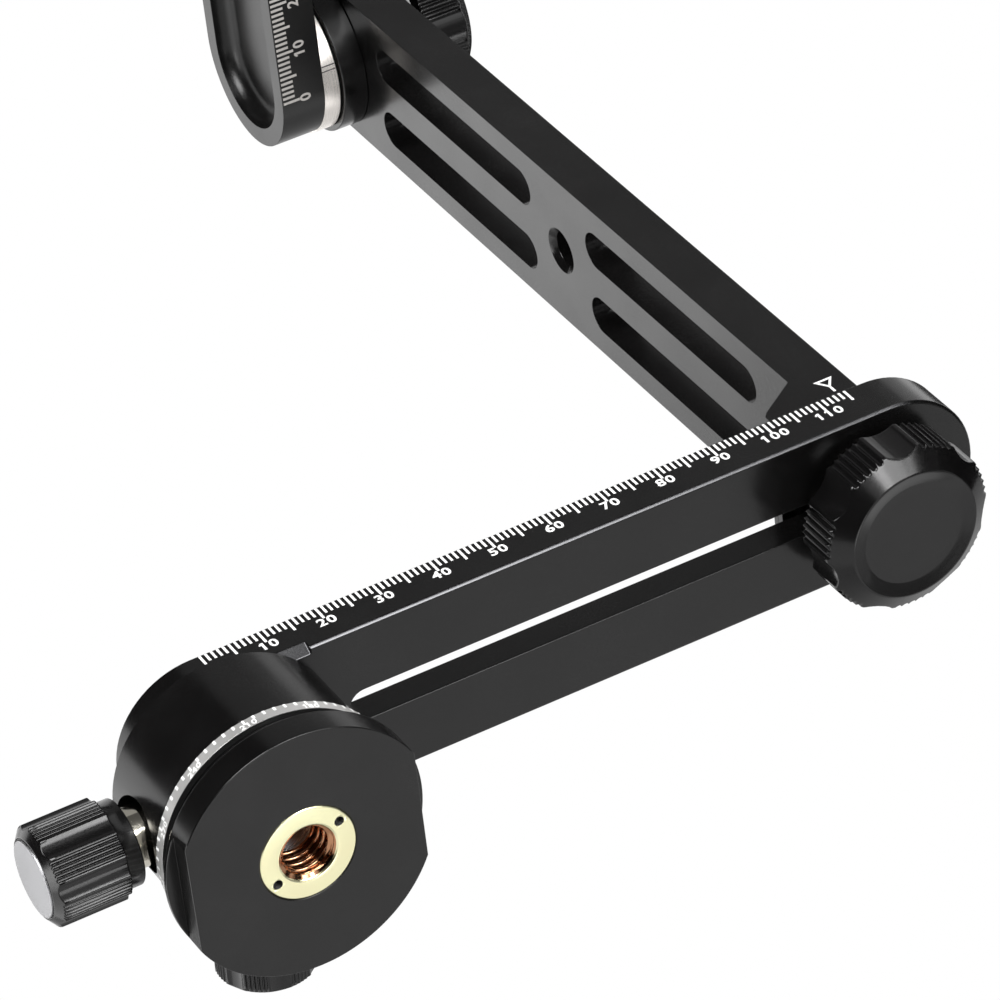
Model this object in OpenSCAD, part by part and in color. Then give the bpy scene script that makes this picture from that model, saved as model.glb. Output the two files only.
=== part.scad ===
// Panoramic tripod head with a pan base, a slotted rail, an upright and a tilting camera plate.
// The frame has +Z up along the pan axis and +X along the rail, towards the upright.
// Its origin is the centre of the tripod thread's mouth, on the base disc's underside.

/* [Tripod base] */
// Radius of the base disc
base_r = 21.55; // [21:0.05:25]
// Height of the base disc
base_t = 5; // [4:0.1:8]
// Distance of each flat of the base disc from the pan axis
base_flat = 19.27; // [18:0.01:20.5]
// Height of the full rim left above the flats
base_rim_t = 1; // [0.5:0.1:2]
// Radius of the neck between the disc and the degree ring
neck_r = 19.2; // [15:0.1:20.5]
// Height of the neck
neck_h = 3.15; // [2.5:0.05:5]
// Radius of the tripod thread
tripod_thread_r = 4.7625; // [3.175:0.0125:4.7625]
// Radius of the brass bush's flange
bush_flange_r = 8.1; // [7.8:0.05:10]
// Thickness of the brass bush's flange
bush_flange_t = 1.5; // [1:0.1:2.5]
// Radius of the brass bush's body
bush_body_r = 6.5; // [5.8:0.05:7]
// Radius of the two spanner holes in the bush's flange
spanner_hole_r = 0.75; // [0.4:0.05:1]
// Radius of the degree ring
ring_r = 20.1; // [18:0.05:21]
// Height of the degree ring
ring_h = 2.15; // [1.5:0.05:4]

/* [Pan housing] */
// Radius of the pan housing
housing_r = 19.2; // [18:0.05:22]
// Height of the pan housing
housing_h = 16.2; // [15.5:0.1:20]
// Radius of the spindle in its bearing
spindle_r = 7.5; // [7:0.05:8]
// Radius of the spindle's flange
spindle_flange_r = 12; // [11.8:0.05:13]
// Length of the bronze bearing bush
pan_bush_l = 4.3; // [3:0.1:5]
// Radius of the notched click-stop wheel
wheel_r = 9; // [8.6:0.05:9.6]
// Number of click stops in a full turn
click_stops = 24; // [12:1:36]

/* [Rail] */
// Width of the rail, and of the upright
rail_w = 29; // [27:0.1:32]
// Thickness of the rail
rail_t = 8.4; // [7.5:0.1:12]
// Distance between the centres of the rail's two round ends
rail_l = 120; // [110:0.5:150]
// Width of the slot for the clamp screw
slot_w = 5.64; // [5.4:0.02:6.4]
// Height of the slot's land, under the guide groove
slot_land_t = 5.45; // [4:0.05:6.5]
// Width of the guide groove in the rail's top face
groove_w = 12; // [10:0.1:15]
// Distance of the slot's first round end from the pan axis
slot_start = 24.3; // [22:0.1:40]

/* [Upright] */
// Distance of the clamp screw from the pan axis, along the rail
arm_x = 115.05; // [60:0.05:116.5]
// Thickness of the upright
arm_t = 8.27; // [7.5:0.01:10]
// Height of the tilt axis above the rail's top face
tilt_h = 166.4; // [150:0.1:200]
// Length of each of the two lower slots in the upright
arm_slot_l = 55; // [30:0.5:56]
// Width of each lightening slot in the upright
arm_slot_w = 6.8; // [4:0.1:8]
// Height of the middle hole above the rail's top face
side_hole_h = 82.6; // [78:0.1:88]
// Radius of the threaded hole in the middle of the upright
side_thread_r = 3.175; // [2:0.025:3.2]

/* [Tilt head] */
// Thickness of the camera plate
plate_t = 8.4; // [7:0.1:12]
// Distance between the centres of the camera plate's two round ends
plate_l = 106; // [80:0.5:125]
// Depth of the pocket in the camera plate
pocket_d = 3.6; // [1.5:0.1:4.5]
// Width of the rim round the pocket
pocket_rim = 3.4; // [2.5:0.1:5]
// Radius of the tilt ring
tilt_ring_r = 13.5; // [13.2:0.05:14.4]
// Thickness of the tilt ring
tilt_ring_t = 3.5; // [3:0.1:5]
// Height of the round boss on the upright
boss_h = 4.7; // [3.5:0.1:6]
// Radius of the tilt spindle
tilt_spindle_r = 6; // [5:0.05:6.5]
// Radius of the camera screw's thread
camera_thread_r = 3.175; // [2.5:0.025:3.175]
// Length of the camera screw's thread that stands above the plate's rim
camera_thread_out = 5.5; // [4:0.1:7]

/* [Knobs] */
// Radius of the two large clamp knobs
big_knob_r = 14.8; // [13:0.1:17]
// Length of the fluted grip of a large knob
big_grip_l = 7.2; // [4:0.1:9]
// Length of the bevel of a large knob
big_bevel_l = 2.6; // [1.6:0.1:5]
// Radius of the two small knobs
small_knob_r = 8.2; // [7.5:0.05:9]
// Length of the fluted grip of a small knob
small_grip_l = 11.1; // [8:0.1:14]
// Length of the bevel of a small knob
small_bevel_l = 1.2; // [1:0.1:2.5]
// Number of wide flutes round a knob
flutes = 7; // [5:1:9]
// Number of fine grooves between two wide flutes
grooves = 5; // [3:1:5]
// Angle of the click-stop knob from the head's side, round the pan axis
index_turn = 2.7; // [0:0.1:6]

/* [Hidden] */
$fn = 96;

// Cuts run past the faces that they open by this much
overrun = 0.5;
// Gap round a piece that is fixed in its seat
seat_gap = 0.02;
// Radial gap of a shaft or pin that turns or slides in its hole
run_gap = 0.05;
// Gap between faces that pass each other without touching
free_gap = 0.3;
black = [0.06, 0.06, 0.065];
steel = [0.75, 0.75, 0.77];
brass = [0.86, 0.72, 0.40];
bronze = [0.66, 0.48, 0.27];

// Heights on the pan axis
neck_top = base_t + neck_h;
housing_z = neck_top + ring_h + free_gap;
rail_z = housing_z + housing_h;
rail_top = rail_z + rail_t;

// Base: the bush reaches into the spindle's flange, with a blind hole above it for a long screw
bush_in_spindle = 2.5;
bush_h = base_t + bush_in_spindle;
blind_hole_r = 5;
blind_hole_h = 3;
spanner_pitch_r = 6.55;
spanner_hole_d = 1;
spanner_turn = -31;
ring_bore_r = 13.2;

// Spindle, with its wheel, wave washer and nut above the bearing
shoulder_gap = 0.1;
shoulder_z = housing_z + pan_bush_l + shoulder_gap;
spindle_top_r = 6;
wheel_h = 7.8;
wheel_notch = 1;
wave_t = 0.6;
wave_w = 2.6;
nut_h = 2.8;
nut_corner_r = 8.4;
cavity_r = wheel_r + 2 * free_gap;
pan_bush_wall = 3;
rotor_top = shoulder_z + wheel_h + wave_t + nut_h;

// Small countersunk screws: radii of head and shank, and depth of the head's cone
screw_head_r = 2.1;
screw_shank_r = 1.25;
screw_cone = screw_head_r - screw_shank_r;
screw_socket_r = 1;
screw_socket_d = 0.8;
spindle_screw_l = 5.5;
spindle_screw_pitch_r = (spindle_r + spindle_flange_r) / 2;
rail_screw_in_housing = 5;
rail_screw_l = rail_t + rail_screw_in_housing;
rail_screw_rim = 0.8;
rail_screw_pitch_r = rail_w / 2 - screw_head_r - rail_screw_rim;
rail_screw_turns = [45, 135, 225, 315];

// Radial stations of the pan lock and of the click-stop control, out from the pan axis
control_h_share = 0.5247;
control_z = housing_z + control_h_share * housing_h;
shoe_r = 2.95;
shoe_l = 2;
shoe_horn = 0.3;
shoe_u = wheel_r + free_gap;
lock_thread_r = 3;
lock_neck_r = 4.5;
lock_neck_l = 2;
lock_sleeve_r = 4.9;
lock_sleeve_l = 3.7;
lock_bore_d = 5.2;
lock_bore_r = 6.3;
lock_neck_gap = 1.5;
lock_floor_u = housing_r - lock_bore_d;
lock_neck_u = lock_floor_u + lock_neck_gap;
lock_sleeve_u = lock_neck_u + lock_neck_l;
lock_knob_u = lock_sleeve_u + lock_sleeve_l;
small_collar_r = 7;
small_collar_l = 2.8;
small_face_r = 6.65;
cap_r = 6.2;
cap_t = 0.8;
cap_seat = 0.5;
lock_screw_in_knob = 9;
click_guide_r = 3.9;
click_guide_seat = 7;
click_guide_u = housing_r - click_guide_seat;
click_pin_r = 2;
click_tip_l = 1.7;
click_tip_r = 0.3;
click_travel = 0.8;
click_knob_u = housing_r + click_travel + free_gap;
click_collar_l = 1.4;
click_guide_in_knob = 3.6;
click_pin_in_knob = 7;

// Flutes: a wide flute's radius and depth, and a fine groove's radius, as shares of a knob's radius
flute_r_share = 0.4;
flute_d_share = 0.066;
groove_r_share = 0.036;
groove_pitch_share = 0.088;
// Turn of the clamp knob's first flute
clamp_flute_turn = 90;
lock_flute_turn = 12;

// Rail
rail_r = rail_w / 2;
rail_edge = 0.4;
slot_end_gap = 2.6;
slot_end = rail_l - slot_end_gap;
groove_past_slot = 4.2;
notch_x0 = 11;
notch_l = 5.4;
notch_h = 1.9;
notch_w = 1.3;

// Upright and its foot, with the key that runs in the guide groove
arm_x0 = arm_x - arm_t / 2;
foot_l = 7.9;
foot_h = 1.3;
foot_fillet_x = 0.8;
gusset_h = 2.3;
gusset_top_h = 7.4;
tilt_z = rail_top + tilt_h;
arm_slot_y = 6.5;
arm_slot_gap = 9.4;
arm_slot_below_tilt = 19.4;
arm_slot_high_l = tilt_h - side_hole_h - arm_slot_gap - arm_slot_below_tilt;
side_z = rail_top + side_hole_h;
side_sink_r = 4.2;
clamp_screw_r = 2.5;
clamp_screw_up = 12;
key_side_gap = 0.1;
key_under_gap = 1.5;
key_h = rail_t - slot_land_t - key_under_gap;
key_screw_head_r = 1.8;
key_screw_shank_r = 1;
key_screw_l = 4.8;
key_screw_y = 3.4;
key_screw_x = 4.2;

// Large knobs
big_collar_r = 11.5;
big_collar_l = 2.5;
big_face_r = 11.25;
big_dish_r = 8.9;
big_dish_d = 0.5;
big_dish_edge = 2.2;
clamp_washer_t = 1.5;
clamp_washer_r = 9;
clamp_screw_in_knob = 8;
tilt_lock_washer_t = 2.4;
tilt_thread_r = 4;
tilt_thread_in_knob = 7;

// Tilt head, out from the upright towards the pan axis
boss_x = arm_x0 - boss_h;
tilt_washer_t = 0.3;
tilt_washer_r = 12.5;
ring_x = boss_x - tilt_washer_t - tilt_ring_t;
plate_x = ring_x - plate_t;
plate_round_y = -1.6;
pocket_fillet_share = 0.85;
pocket_fillet = pocket_d * pocket_fillet_share;
tilt_flange_r = 8.8;
tilt_flange_t = 2;
tilt_bush_wall = 2;
ring_screw_head_r = 1.7;
ring_screw_rim = 0.6;
ring_screw_pitch_r = tilt_ring_r - ring_screw_head_r - ring_screw_rim;
ring_screw_shank_r = 1;
ring_screw_l = 6;
camera_slot_w = 6.8;
camera_slot_y = -42;
camera_slot_past_round = 2.4;
camera_slot_l = plate_l + camera_slot_past_round + camera_slot_y - plate_round_y;
camera_screw_y = -76;
camera_neck_r = 2.6;
camera_neck_in = 1.2;
camera_head_r = 7.6;
camera_head_h = 4;
camera_washer_t = 0.6;
camera_washer_r = 7;
coin_slot_w = 1.6;
coin_slot_d = 1.6;
head_flutes = 18;
head_flute_r = 0.8;

// Flat outline of a bar with round ends, from the origin along +X
module bar_outline(length, r) {
    circle(r);
    translate([length, 0]) circle(r);
    translate([0, -r]) square([length, 2 * r]);
}

// Bar with round ends, from the origin along +X, whose lower edge is chamfered
module edged_bar(length, r, height, edge) {
    for (x = [0, length]) translate([x, 0, 0]) {
        cylinder(h = edge, r1 = r - edge, r2 = r);
        translate([0, 0, edge]) cylinder(h = height - edge, r = r);
    }
    rotate([90, 0, 90]) linear_extrude(length)
        polygon([[edge - r, 0], [r - edge, 0], [r, edge], [r, height], [-r, height], [-r, edge]]);
}

// Half profile of a pocket: its mouth is at y = 0, and it is filleted round the floor
module pocket_profile(r, depth, fillet) {
    square([r - fillet, depth]);
    square([r, depth - fillet]);
    translate([r - fillet, depth - fillet]) intersection() {
        circle(fillet);
        square(fillet);
    }
}

// Solid that cuts a filleted pocket with round ends, from the origin along +X, down from z = 0
module pocket_cut(length, r, depth, fillet) {
    rotate([180, 0, 0]) {
        for (x = [0, length]) translate([x, 0, 0]) rotate_extrude() pocket_profile(r, depth, fillet);
        rotate([90, 0, 90]) linear_extrude(length) {
            pocket_profile(r, depth, fillet);
            mirror([1, 0]) pocket_profile(r, depth, fillet);
        }
    }
    translate([0, 0, -seat_gap]) linear_extrude(overrun + seat_gap) bar_outline(length, r);
}

// Ring between two radii
module ring(height, r_out, r_in) {
    difference() {
        cylinder(h = height, r = r_out);
        translate([0, 0, -overrun]) cylinder(h = height + 2 * overrun, r = r_in);
    }
}

// Countersunk screw whose head lies at z = 0 and whose shank points down
module countersunk(head_r, shank_r, length, gap) {
    cone = head_r - shank_r;
    translate([0, 0, -length]) cylinder(h = length, r = shank_r + gap);
    translate([0, 0, -cone]) cylinder(h = cone, r1 = shank_r + gap, r2 = head_r + gap);
}

// Countersunk screw with a hexagon socket
module socket_screw(head_r, shank_r, length) {
    difference() {
        countersunk(head_r, shank_r, length, 0);
        translate([0, 0, -screw_socket_d])
            cylinder(h = screw_socket_d + overrun, r = screw_socket_r * head_r / screw_head_r, $fn = 6);
    }
}

// Hole for a countersunk screw, open above its head
module screw_hole(head_r, shank_r, length) {
    countersunk(head_r, shank_r, length + seat_gap, seat_gap);
    cylinder(h = overrun, r = head_r + seat_gap);
}

// Knob along +Z from its collar to its bevelled face, with wide flutes and groups of fine grooves
module fluted_knob(r, grip, bevel, face_r, collar_r, collar, turn) {
    edge = r * groove_r_share;
    flute_r = r * flute_r_share;
    difference() {
        rotate_extrude() polygon([[0, 0], [collar_r - edge, 0], [collar_r, edge], [collar_r, collar],
            [r - edge, collar], [r, collar + edge], [r, collar + grip],
            [face_r, collar + grip + bevel], [0, collar + grip + bevel]]);
        for (i = [0 : flutes - 1]) rotate([0, 0, turn + i * 360 / flutes]) {
            translate([r * (1 - flute_d_share) + flute_r, 0, collar - overrun])
                cylinder(h = grip + bevel + overrun * 2, r = flute_r);
            for (j = [0 : grooves - 1])
                rotate([0, 0, 180 / flutes + (j - (grooves - 1) / 2) * groove_pitch_share * 180 / PI])
                    translate([r, 0, collar - overrun])
                        cylinder(h = grip + bevel + overrun * 2, r = r * groove_r_share, $fn = 24);
        }
    }
}

// Large knob: the fluted knob with a dished face and a hole for its screw
module big_knob(hole_r, hole_d, turn) {
    height = big_collar_l + big_grip_l + big_bevel_l;
    difference() {
        fluted_knob(big_knob_r, big_grip_l, big_bevel_l, big_face_r, big_collar_r, big_collar_l, turn);
        translate([0, 0, height - big_dish_d])
            cylinder(h = big_dish_d, r1 = big_dish_r, r2 = big_dish_r + big_dish_edge);
        translate([0, 0, height]) cylinder(h = overrun, r = big_dish_r + big_dish_edge);
        translate([0, 0, -overrun]) cylinder(h = hole_d + overrun, r = hole_r);
    }
}

// Small knob: the fluted knob with a seat for its end cap
module small_knob(collar, turn) {
    height = collar + small_grip_l + small_bevel_l;
    difference() {
        fluted_knob(small_knob_r, small_grip_l, small_bevel_l, small_face_r, small_collar_r, collar, turn);
        translate([0, 0, height - cap_seat]) cylinder(h = cap_seat + overrun, r = cap_r + seat_gap);
    }
}

// Places: +Z of what is placed points out from the pan axis, down from the clamp, or along +X
module out_from_pan(turn) {
    translate([0, 0, control_z]) rotate([0, 0, turn]) rotate([0, 90, 0]) children();
}
module at_lock() { out_from_pan(180) children(); }
module at_click() { out_from_pan(90 + index_turn) children(); }
module under_rail() { translate([arm_x, 0, rail_z]) rotate([180, 0, 0]) children(); }
module on_tilt(x) { translate([x, 0, tilt_z]) rotate([0, 90, 0]) children(); }
module slab(x, thickness) {
    translate([x, 0, 0]) rotate([90, 0, 90]) linear_extrude(thickness) children();
}
module round_pan_axis(turns, r) {
    for (a = turns) rotate([0, 0, a]) translate([r, 0, 0]) children();
}

// Base, which stays on the tripod

module base_plate() {
    color(black) difference() {
        union() {
            cylinder(h = base_t, r = base_r);
            cylinder(h = neck_top, r = neck_r);
        }
        for (side = [0, 1]) mirror([side, 0, 0]) translate([base_flat, -base_r, -overrun])
            cube([base_r, 2 * base_r, base_t - base_rim_t + overrun]);
        translate([0, 0, -overrun]) cylinder(h = bush_flange_t + overrun, r = bush_flange_r + seat_gap);
        translate([0, 0, -overrun]) cylinder(h = base_t + 2 * overrun, r = bush_body_r + seat_gap);
        translate([0, 0, base_t]) cylinder(h = neck_h + overrun, r = spindle_flange_r + seat_gap);
        translate([0, 0, neck_top]) round_pan_axis([0, 90, 180, 270], spindle_screw_pitch_r)
            screw_hole(screw_head_r, screw_shank_r, spindle_screw_l);
    }
}

module tripod_bush() {
    color(brass) difference() {
        union() {
            cylinder(h = bush_flange_t, r = bush_flange_r);
            cylinder(h = bush_h, r = bush_body_r);
        }
        translate([0, 0, -overrun]) cylinder(h = bush_h + 2 * overrun, r = tripod_thread_r);
        round_pan_axis([spanner_turn, spanner_turn + 180], spanner_pitch_r)
            translate([0, 0, -overrun]) cylinder(h = spanner_hole_d + overrun, r = spanner_hole_r);
    }
}

module pan_spindle() {
    color(steel) difference() {
        union() {
            translate([0, 0, base_t]) cylinder(h = neck_h, r = spindle_flange_r);
            translate([0, 0, neck_top]) cylinder(h = shoulder_z - neck_top, r = spindle_r);
            translate([0, 0, neck_top]) cylinder(h = rotor_top - neck_top, r = spindle_top_r);
        }
        translate([0, 0, base_t - overrun])
            cylinder(h = bush_in_spindle + overrun, r = bush_body_r + seat_gap);
        translate([0, 0, base_t]) cylinder(h = bush_in_spindle + blind_hole_h, r = blind_hole_r);
        translate([0, 0, neck_top]) round_pan_axis([0, 90, 180, 270], spindle_screw_pitch_r)
            screw_hole(screw_head_r, screw_shank_r, spindle_screw_l);
    }
}

module spindle_screws() {
    color(steel) translate([0, 0, neck_top]) round_pan_axis([0, 90, 180, 270], spindle_screw_pitch_r)
        socket_screw(screw_head_r, screw_shank_r, spindle_screw_l);
}

module pan_scale_ring() {
    color(steel) translate([0, 0, neck_top]) ring(ring_h, ring_r, ring_bore_r);
}

module thrust_washer() {
    color(bronze) translate([0, 0, neck_top])
        ring(ring_h + free_gap, ring_bore_r - free_gap, spindle_r + free_gap);
}

module click_wheel() {
    color(steel) translate([0, 0, shoulder_z]) difference() {
        ring(wheel_h, wheel_r, spindle_top_r + seat_gap);
        for (i = [0 : click_stops - 1]) rotate([0, 0, 90 + index_turn + i * 360 / click_stops])
            translate([wheel_r - wheel_notch, 0, -overrun]) rotate([0, 0, -45])
                cube([wheel_r, wheel_r, wheel_h + 2 * overrun]);
    }
}

module wave_washer() {
    color(steel) translate([0, 0, shoulder_z + wheel_h])
        ring(wave_t, spindle_top_r + wave_w, spindle_top_r + seat_gap);
}

module spindle_nut() {
    color(steel) translate([0, 0, rotor_top - nut_h]) difference() {
        cylinder(h = nut_h, r = nut_corner_r, $fn = 6);
        translate([0, 0, -overrun]) cylinder(h = nut_h + 2 * overrun, r = spindle_top_r + seat_gap);
    }
}

// Pan stage: the housing and the rail on it

module pan_housing() {
    color(black) difference() {
        translate([0, 0, housing_z]) cylinder(h = housing_h, r = housing_r);
        translate([0, 0, housing_z - overrun])
            cylinder(h = pan_bush_l + overrun, r = spindle_r + pan_bush_wall + seat_gap);
        translate([0, 0, housing_z]) cylinder(h = housing_h + overrun, r = cavity_r);
        at_lock() cylinder(h = housing_r, r = lock_thread_r + run_gap);
        at_lock() translate([0, 0, lock_floor_u]) cylinder(h = housing_r, r = lock_bore_r);
        at_click() cylinder(h = housing_r, r = click_pin_r + run_gap);
        at_click() translate([0, 0, click_guide_u]) cylinder(h = housing_r, r = click_guide_r + seat_gap);
        translate([0, 0, rail_top]) round_pan_axis(rail_screw_turns, rail_screw_pitch_r)
            screw_hole(screw_head_r, screw_shank_r, rail_screw_l);
    }
}

module pan_bush() {
    color(bronze) translate([0, 0, housing_z])
        ring(pan_bush_l, spindle_r + pan_bush_wall, spindle_r + run_gap);
}

module lower_rail() {
    color(black) difference() {
        translate([0, 0, rail_z]) edged_bar(rail_l, rail_r, rail_t, rail_edge);
        translate([slot_start, 0, rail_z - overrun])
            linear_extrude(rail_t + 2 * overrun) bar_outline(slot_end - slot_start, slot_w / 2);
        translate([slot_start, 0, rail_z + slot_land_t])
            linear_extrude(rail_t)
                bar_outline(slot_end + groove_past_slot - slot_start, groove_w / 2);
        for (side = [0, 1]) mirror([0, side, 0]) translate([notch_x0, 0, rail_z])
            rotate([90, 0, 90]) linear_extrude(notch_l) polygon([[rail_r - notch_w, -overrun],
                [rail_r - notch_w, 0], [rail_r, notch_h], [rail_r + overrun, notch_h],
                [rail_r + overrun, -overrun]]);
        translate([0, 0, rail_top]) round_pan_axis(rail_screw_turns, rail_screw_pitch_r)
            screw_hole(screw_head_r, screw_shank_r, rail_screw_l);
    }
}

module rail_screws() {
    color(steel) translate([0, 0, rail_top]) round_pan_axis(rail_screw_turns, rail_screw_pitch_r)
        socket_screw(screw_head_r, screw_shank_r, rail_screw_l);
}

module click_guide() {
    color(steel) at_click() translate([0, 0, click_guide_u])
        ring(click_knob_u + click_guide_in_knob - click_guide_u, click_guide_r, click_pin_r + run_gap);
}

// Pan lock: the knob's screw pushes a shoe against the wheel

module brake_shoe() {
    color(bronze) at_lock() difference() {
        translate([0, 0, shoe_u - shoe_horn]) cylinder(h = shoe_horn + shoe_l, r = shoe_r);
        rotate([0, 90, 0]) translate([0, 0, -2 * shoe_r]) cylinder(h = 4 * shoe_r, r = shoe_u);
    }
}

module pan_lock_screw() {
    color(steel) at_lock() {
        translate([0, 0, shoe_u + shoe_l])
            cylinder(h = lock_knob_u + lock_screw_in_knob - shoe_u - shoe_l, r = lock_thread_r);
        translate([0, 0, lock_neck_u]) cylinder(h = lock_neck_l, r = lock_neck_r);
    }
}

module pan_lock_sleeve() {
    color(steel) at_lock() translate([0, 0, lock_sleeve_u])
        ring(lock_sleeve_l, lock_sleeve_r, lock_thread_r + seat_gap);
}

module pan_lock_knob() {
    color(black) at_lock() translate([0, 0, lock_knob_u]) difference() {
        small_knob(small_collar_l, lock_flute_turn);
        translate([0, 0, -overrun])
            cylinder(h = lock_screw_in_knob + overrun, r = lock_thread_r + seat_gap);
    }
}

module pan_lock_cap() {
    color(steel) at_lock()
        translate([0, 0, lock_knob_u + small_collar_l + small_grip_l + small_bevel_l - cap_seat])
            cylinder(h = cap_t, r = cap_r);
}

// Click-stop control: the knob winds a plunger into a notch of the wheel

module click_plunger() {
    color(steel) at_click() {
        translate([0, 0, shoe_u]) cylinder(h = click_tip_l, r1 = click_tip_r, r2 = click_pin_r);
        translate([0, 0, shoe_u + click_tip_l])
            cylinder(h = click_knob_u + click_pin_in_knob - shoe_u - click_tip_l, r = click_pin_r);
    }
}

module click_knob() {
    color(black) at_click() translate([0, 0, click_knob_u]) difference() {
        small_knob(click_collar_l, lock_flute_turn);
        translate([0, 0, -overrun])
            cylinder(h = click_guide_in_knob + click_travel + free_gap + overrun,
                r = click_guide_r + run_gap);
        cylinder(h = click_pin_in_knob, r = click_pin_r + run_gap);
    }
}

module click_knob_cap() {
    color(steel) at_click()
        translate([0, 0, click_knob_u + click_collar_l + small_grip_l + small_bevel_l - cap_seat])
            cylinder(h = cap_t, r = cap_r);
}

// Upright: it slides along the rail on its key

module upright_arm() {
    color(black) difference() {
        union() {
            slab(arm_x0, arm_t) {
                translate([-rail_r, rail_top]) square([rail_w, tilt_h]);
                translate([0, tilt_z]) circle(rail_r);
            }
            translate([arm_x0, rail_r, rail_top]) rotate([90, 0, 0]) linear_extrude(rail_w)
                polygon([[overrun, 0], [-foot_l, 0], [-foot_l, foot_h],
                    [foot_fillet_x - foot_l, gusset_h], [0, gusset_top_h], [overrun, gusset_top_h]]);
        }
        for (side = [-1, 1]) for (row = [[0, arm_slot_high_l], [1, arm_slot_l]])
            slab(arm_x0 - overrun, arm_t + 2 * overrun)
                translate([side * arm_slot_y, side_z]) mirror([0, row[0]])
                    translate([0, arm_slot_gap + arm_slot_w / 2]) rotate([0, 0, 90])
                        bar_outline(row[1] - arm_slot_w, arm_slot_w / 2);
        translate([0, 0, side_z]) rotate([0, 90, 0]) cylinder(h = arm_x + arm_t, r = side_thread_r);
        translate([arm_x0, 0, side_z]) rotate([0, 90, 0])
            cylinder(h = side_sink_r - side_thread_r, r1 = side_sink_r, r2 = side_thread_r);
        translate([0, 0, tilt_z]) rotate([0, 90, 0])
            cylinder(h = arm_x + arm_t, r = tilt_spindle_r + tilt_bush_wall + seat_gap);
        translate([arm_x, 0, rail_top - overrun])
            cylinder(h = clamp_screw_up + 2 * overrun, r = clamp_screw_r + run_gap);
        key_screw_places() screw_hole(key_screw_head_r, key_screw_shank_r, key_screw_l);
    }
}

module key_screw_places() {
    for (side = [-1, 1])
        translate([arm_x0 + key_screw_x - foot_l, side * key_screw_y, rail_top - key_h])
            rotate([180, 0, 0]) children();
}

module slide_key() {
    width = groove_w - 2 * key_side_gap;
    color(steel) difference() {
        translate([arm_x0 - foot_l, -width / 2, rail_top - key_h]) cube([foot_l + arm_t, width, key_h]);
        translate([arm_x, 0, rail_z]) cylinder(h = rail_t + overrun, r = clamp_screw_r + run_gap);
        key_screw_places() screw_hole(key_screw_head_r, key_screw_shank_r, key_screw_l);
    }
}

module key_screws() {
    color(steel) key_screw_places() socket_screw(key_screw_head_r, key_screw_shank_r, key_screw_l);
}

module tilt_boss() {
    color(black) on_tilt(boss_x) ring(boss_h, rail_r, tilt_spindle_r + tilt_bush_wall + seat_gap);
}

module tilt_bush() {
    color(bronze) on_tilt(boss_x)
        ring(boss_h + arm_t, tilt_spindle_r + tilt_bush_wall, tilt_spindle_r + run_gap);
}

// Rail clamp: the knob's screw draws the upright down on the rail

module clamp_washer() {
    color(steel) under_rail() ring(clamp_washer_t, clamp_washer_r, clamp_screw_r + run_gap);
}

module clamp_screw() {
    color(steel) under_rail() translate([0, 0, -rail_t - clamp_screw_up])
        cylinder(h = rail_t + clamp_screw_up + clamp_washer_t + clamp_screw_in_knob, r = clamp_screw_r);
}

module clamp_knob() {
    color(black) under_rail() translate([0, 0, clamp_washer_t])
        big_knob(clamp_screw_r + seat_gap, clamp_screw_in_knob, clamp_flute_turn);
}

// Tilt head: the camera plate and all that turns with it

module camera_plate() {
    color(black) difference() {
        slab(plate_x, plate_t) translate([plate_round_y, tilt_z]) rotate([0, 0, 180])
            bar_outline(plate_l, rail_r);
        translate([plate_x, plate_round_y, tilt_z]) rotate([0, -90, 0]) rotate([0, 0, -90])
            pocket_cut(plate_l, rail_r - pocket_rim, pocket_d, pocket_fillet);
        slab(plate_x, plate_t + overrun) translate([camera_slot_y, tilt_z]) rotate([0, 0, 180])
            bar_outline(camera_slot_l, camera_slot_w / 2);
        ring_screw_places() screw_hole(ring_screw_head_r, ring_screw_shank_r, ring_screw_l);
    }
}

module ring_screw_places() {
    on_tilt(ring_x + tilt_ring_t) for (a = [45 : 90 : 315]) rotate([0, 0, a])
        translate([ring_screw_pitch_r, 0, 0]) children();
}

module tilt_scale_ring() {
    color(steel) difference() {
        on_tilt(ring_x) ring(tilt_ring_t, tilt_ring_r, tilt_spindle_r + seat_gap);
        on_tilt(ring_x - overrun)
            cylinder(h = tilt_flange_t + seat_gap + overrun, r = tilt_flange_r + seat_gap);
        ring_screw_places() screw_hole(ring_screw_head_r, ring_screw_shank_r, ring_screw_l);
    }
}

module ring_screws() {
    color(steel) ring_screw_places() socket_screw(ring_screw_head_r, ring_screw_shank_r, ring_screw_l);
}

module tilt_spindle() {
    color(steel) on_tilt(ring_x) {
        cylinder(h = tilt_flange_t, r = tilt_flange_r);
        cylinder(h = tilt_ring_t + tilt_washer_t + boss_h + arm_t, r = tilt_spindle_r);
        cylinder(h = tilt_ring_t + tilt_washer_t + boss_h + arm_t + tilt_lock_washer_t
            + tilt_thread_in_knob, r = tilt_thread_r);
    }
}

module tilt_washer() {
    color(steel) on_tilt(ring_x + tilt_ring_t) ring(tilt_washer_t, tilt_washer_r, tilt_spindle_r + seat_gap);
}

// Tilt lock on the far side of the upright

module tilt_lock_washer() {
    color(steel) on_tilt(arm_x0 + arm_t)
        ring(tilt_lock_washer_t, clamp_washer_r, tilt_thread_r + run_gap);
}

module tilt_lock_knob() {
    color(black) on_tilt(arm_x0 + arm_t + tilt_lock_washer_t)
        big_knob(tilt_thread_r + run_gap, tilt_thread_in_knob + free_gap, clamp_flute_turn);
}

// Camera screw, captive in the plate's slot

module camera_washer() {
    color(steel) translate([0, camera_screw_y, 0]) on_tilt(plate_x + plate_t)
        ring(camera_washer_t, camera_washer_r, camera_neck_r + run_gap);
}

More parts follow.
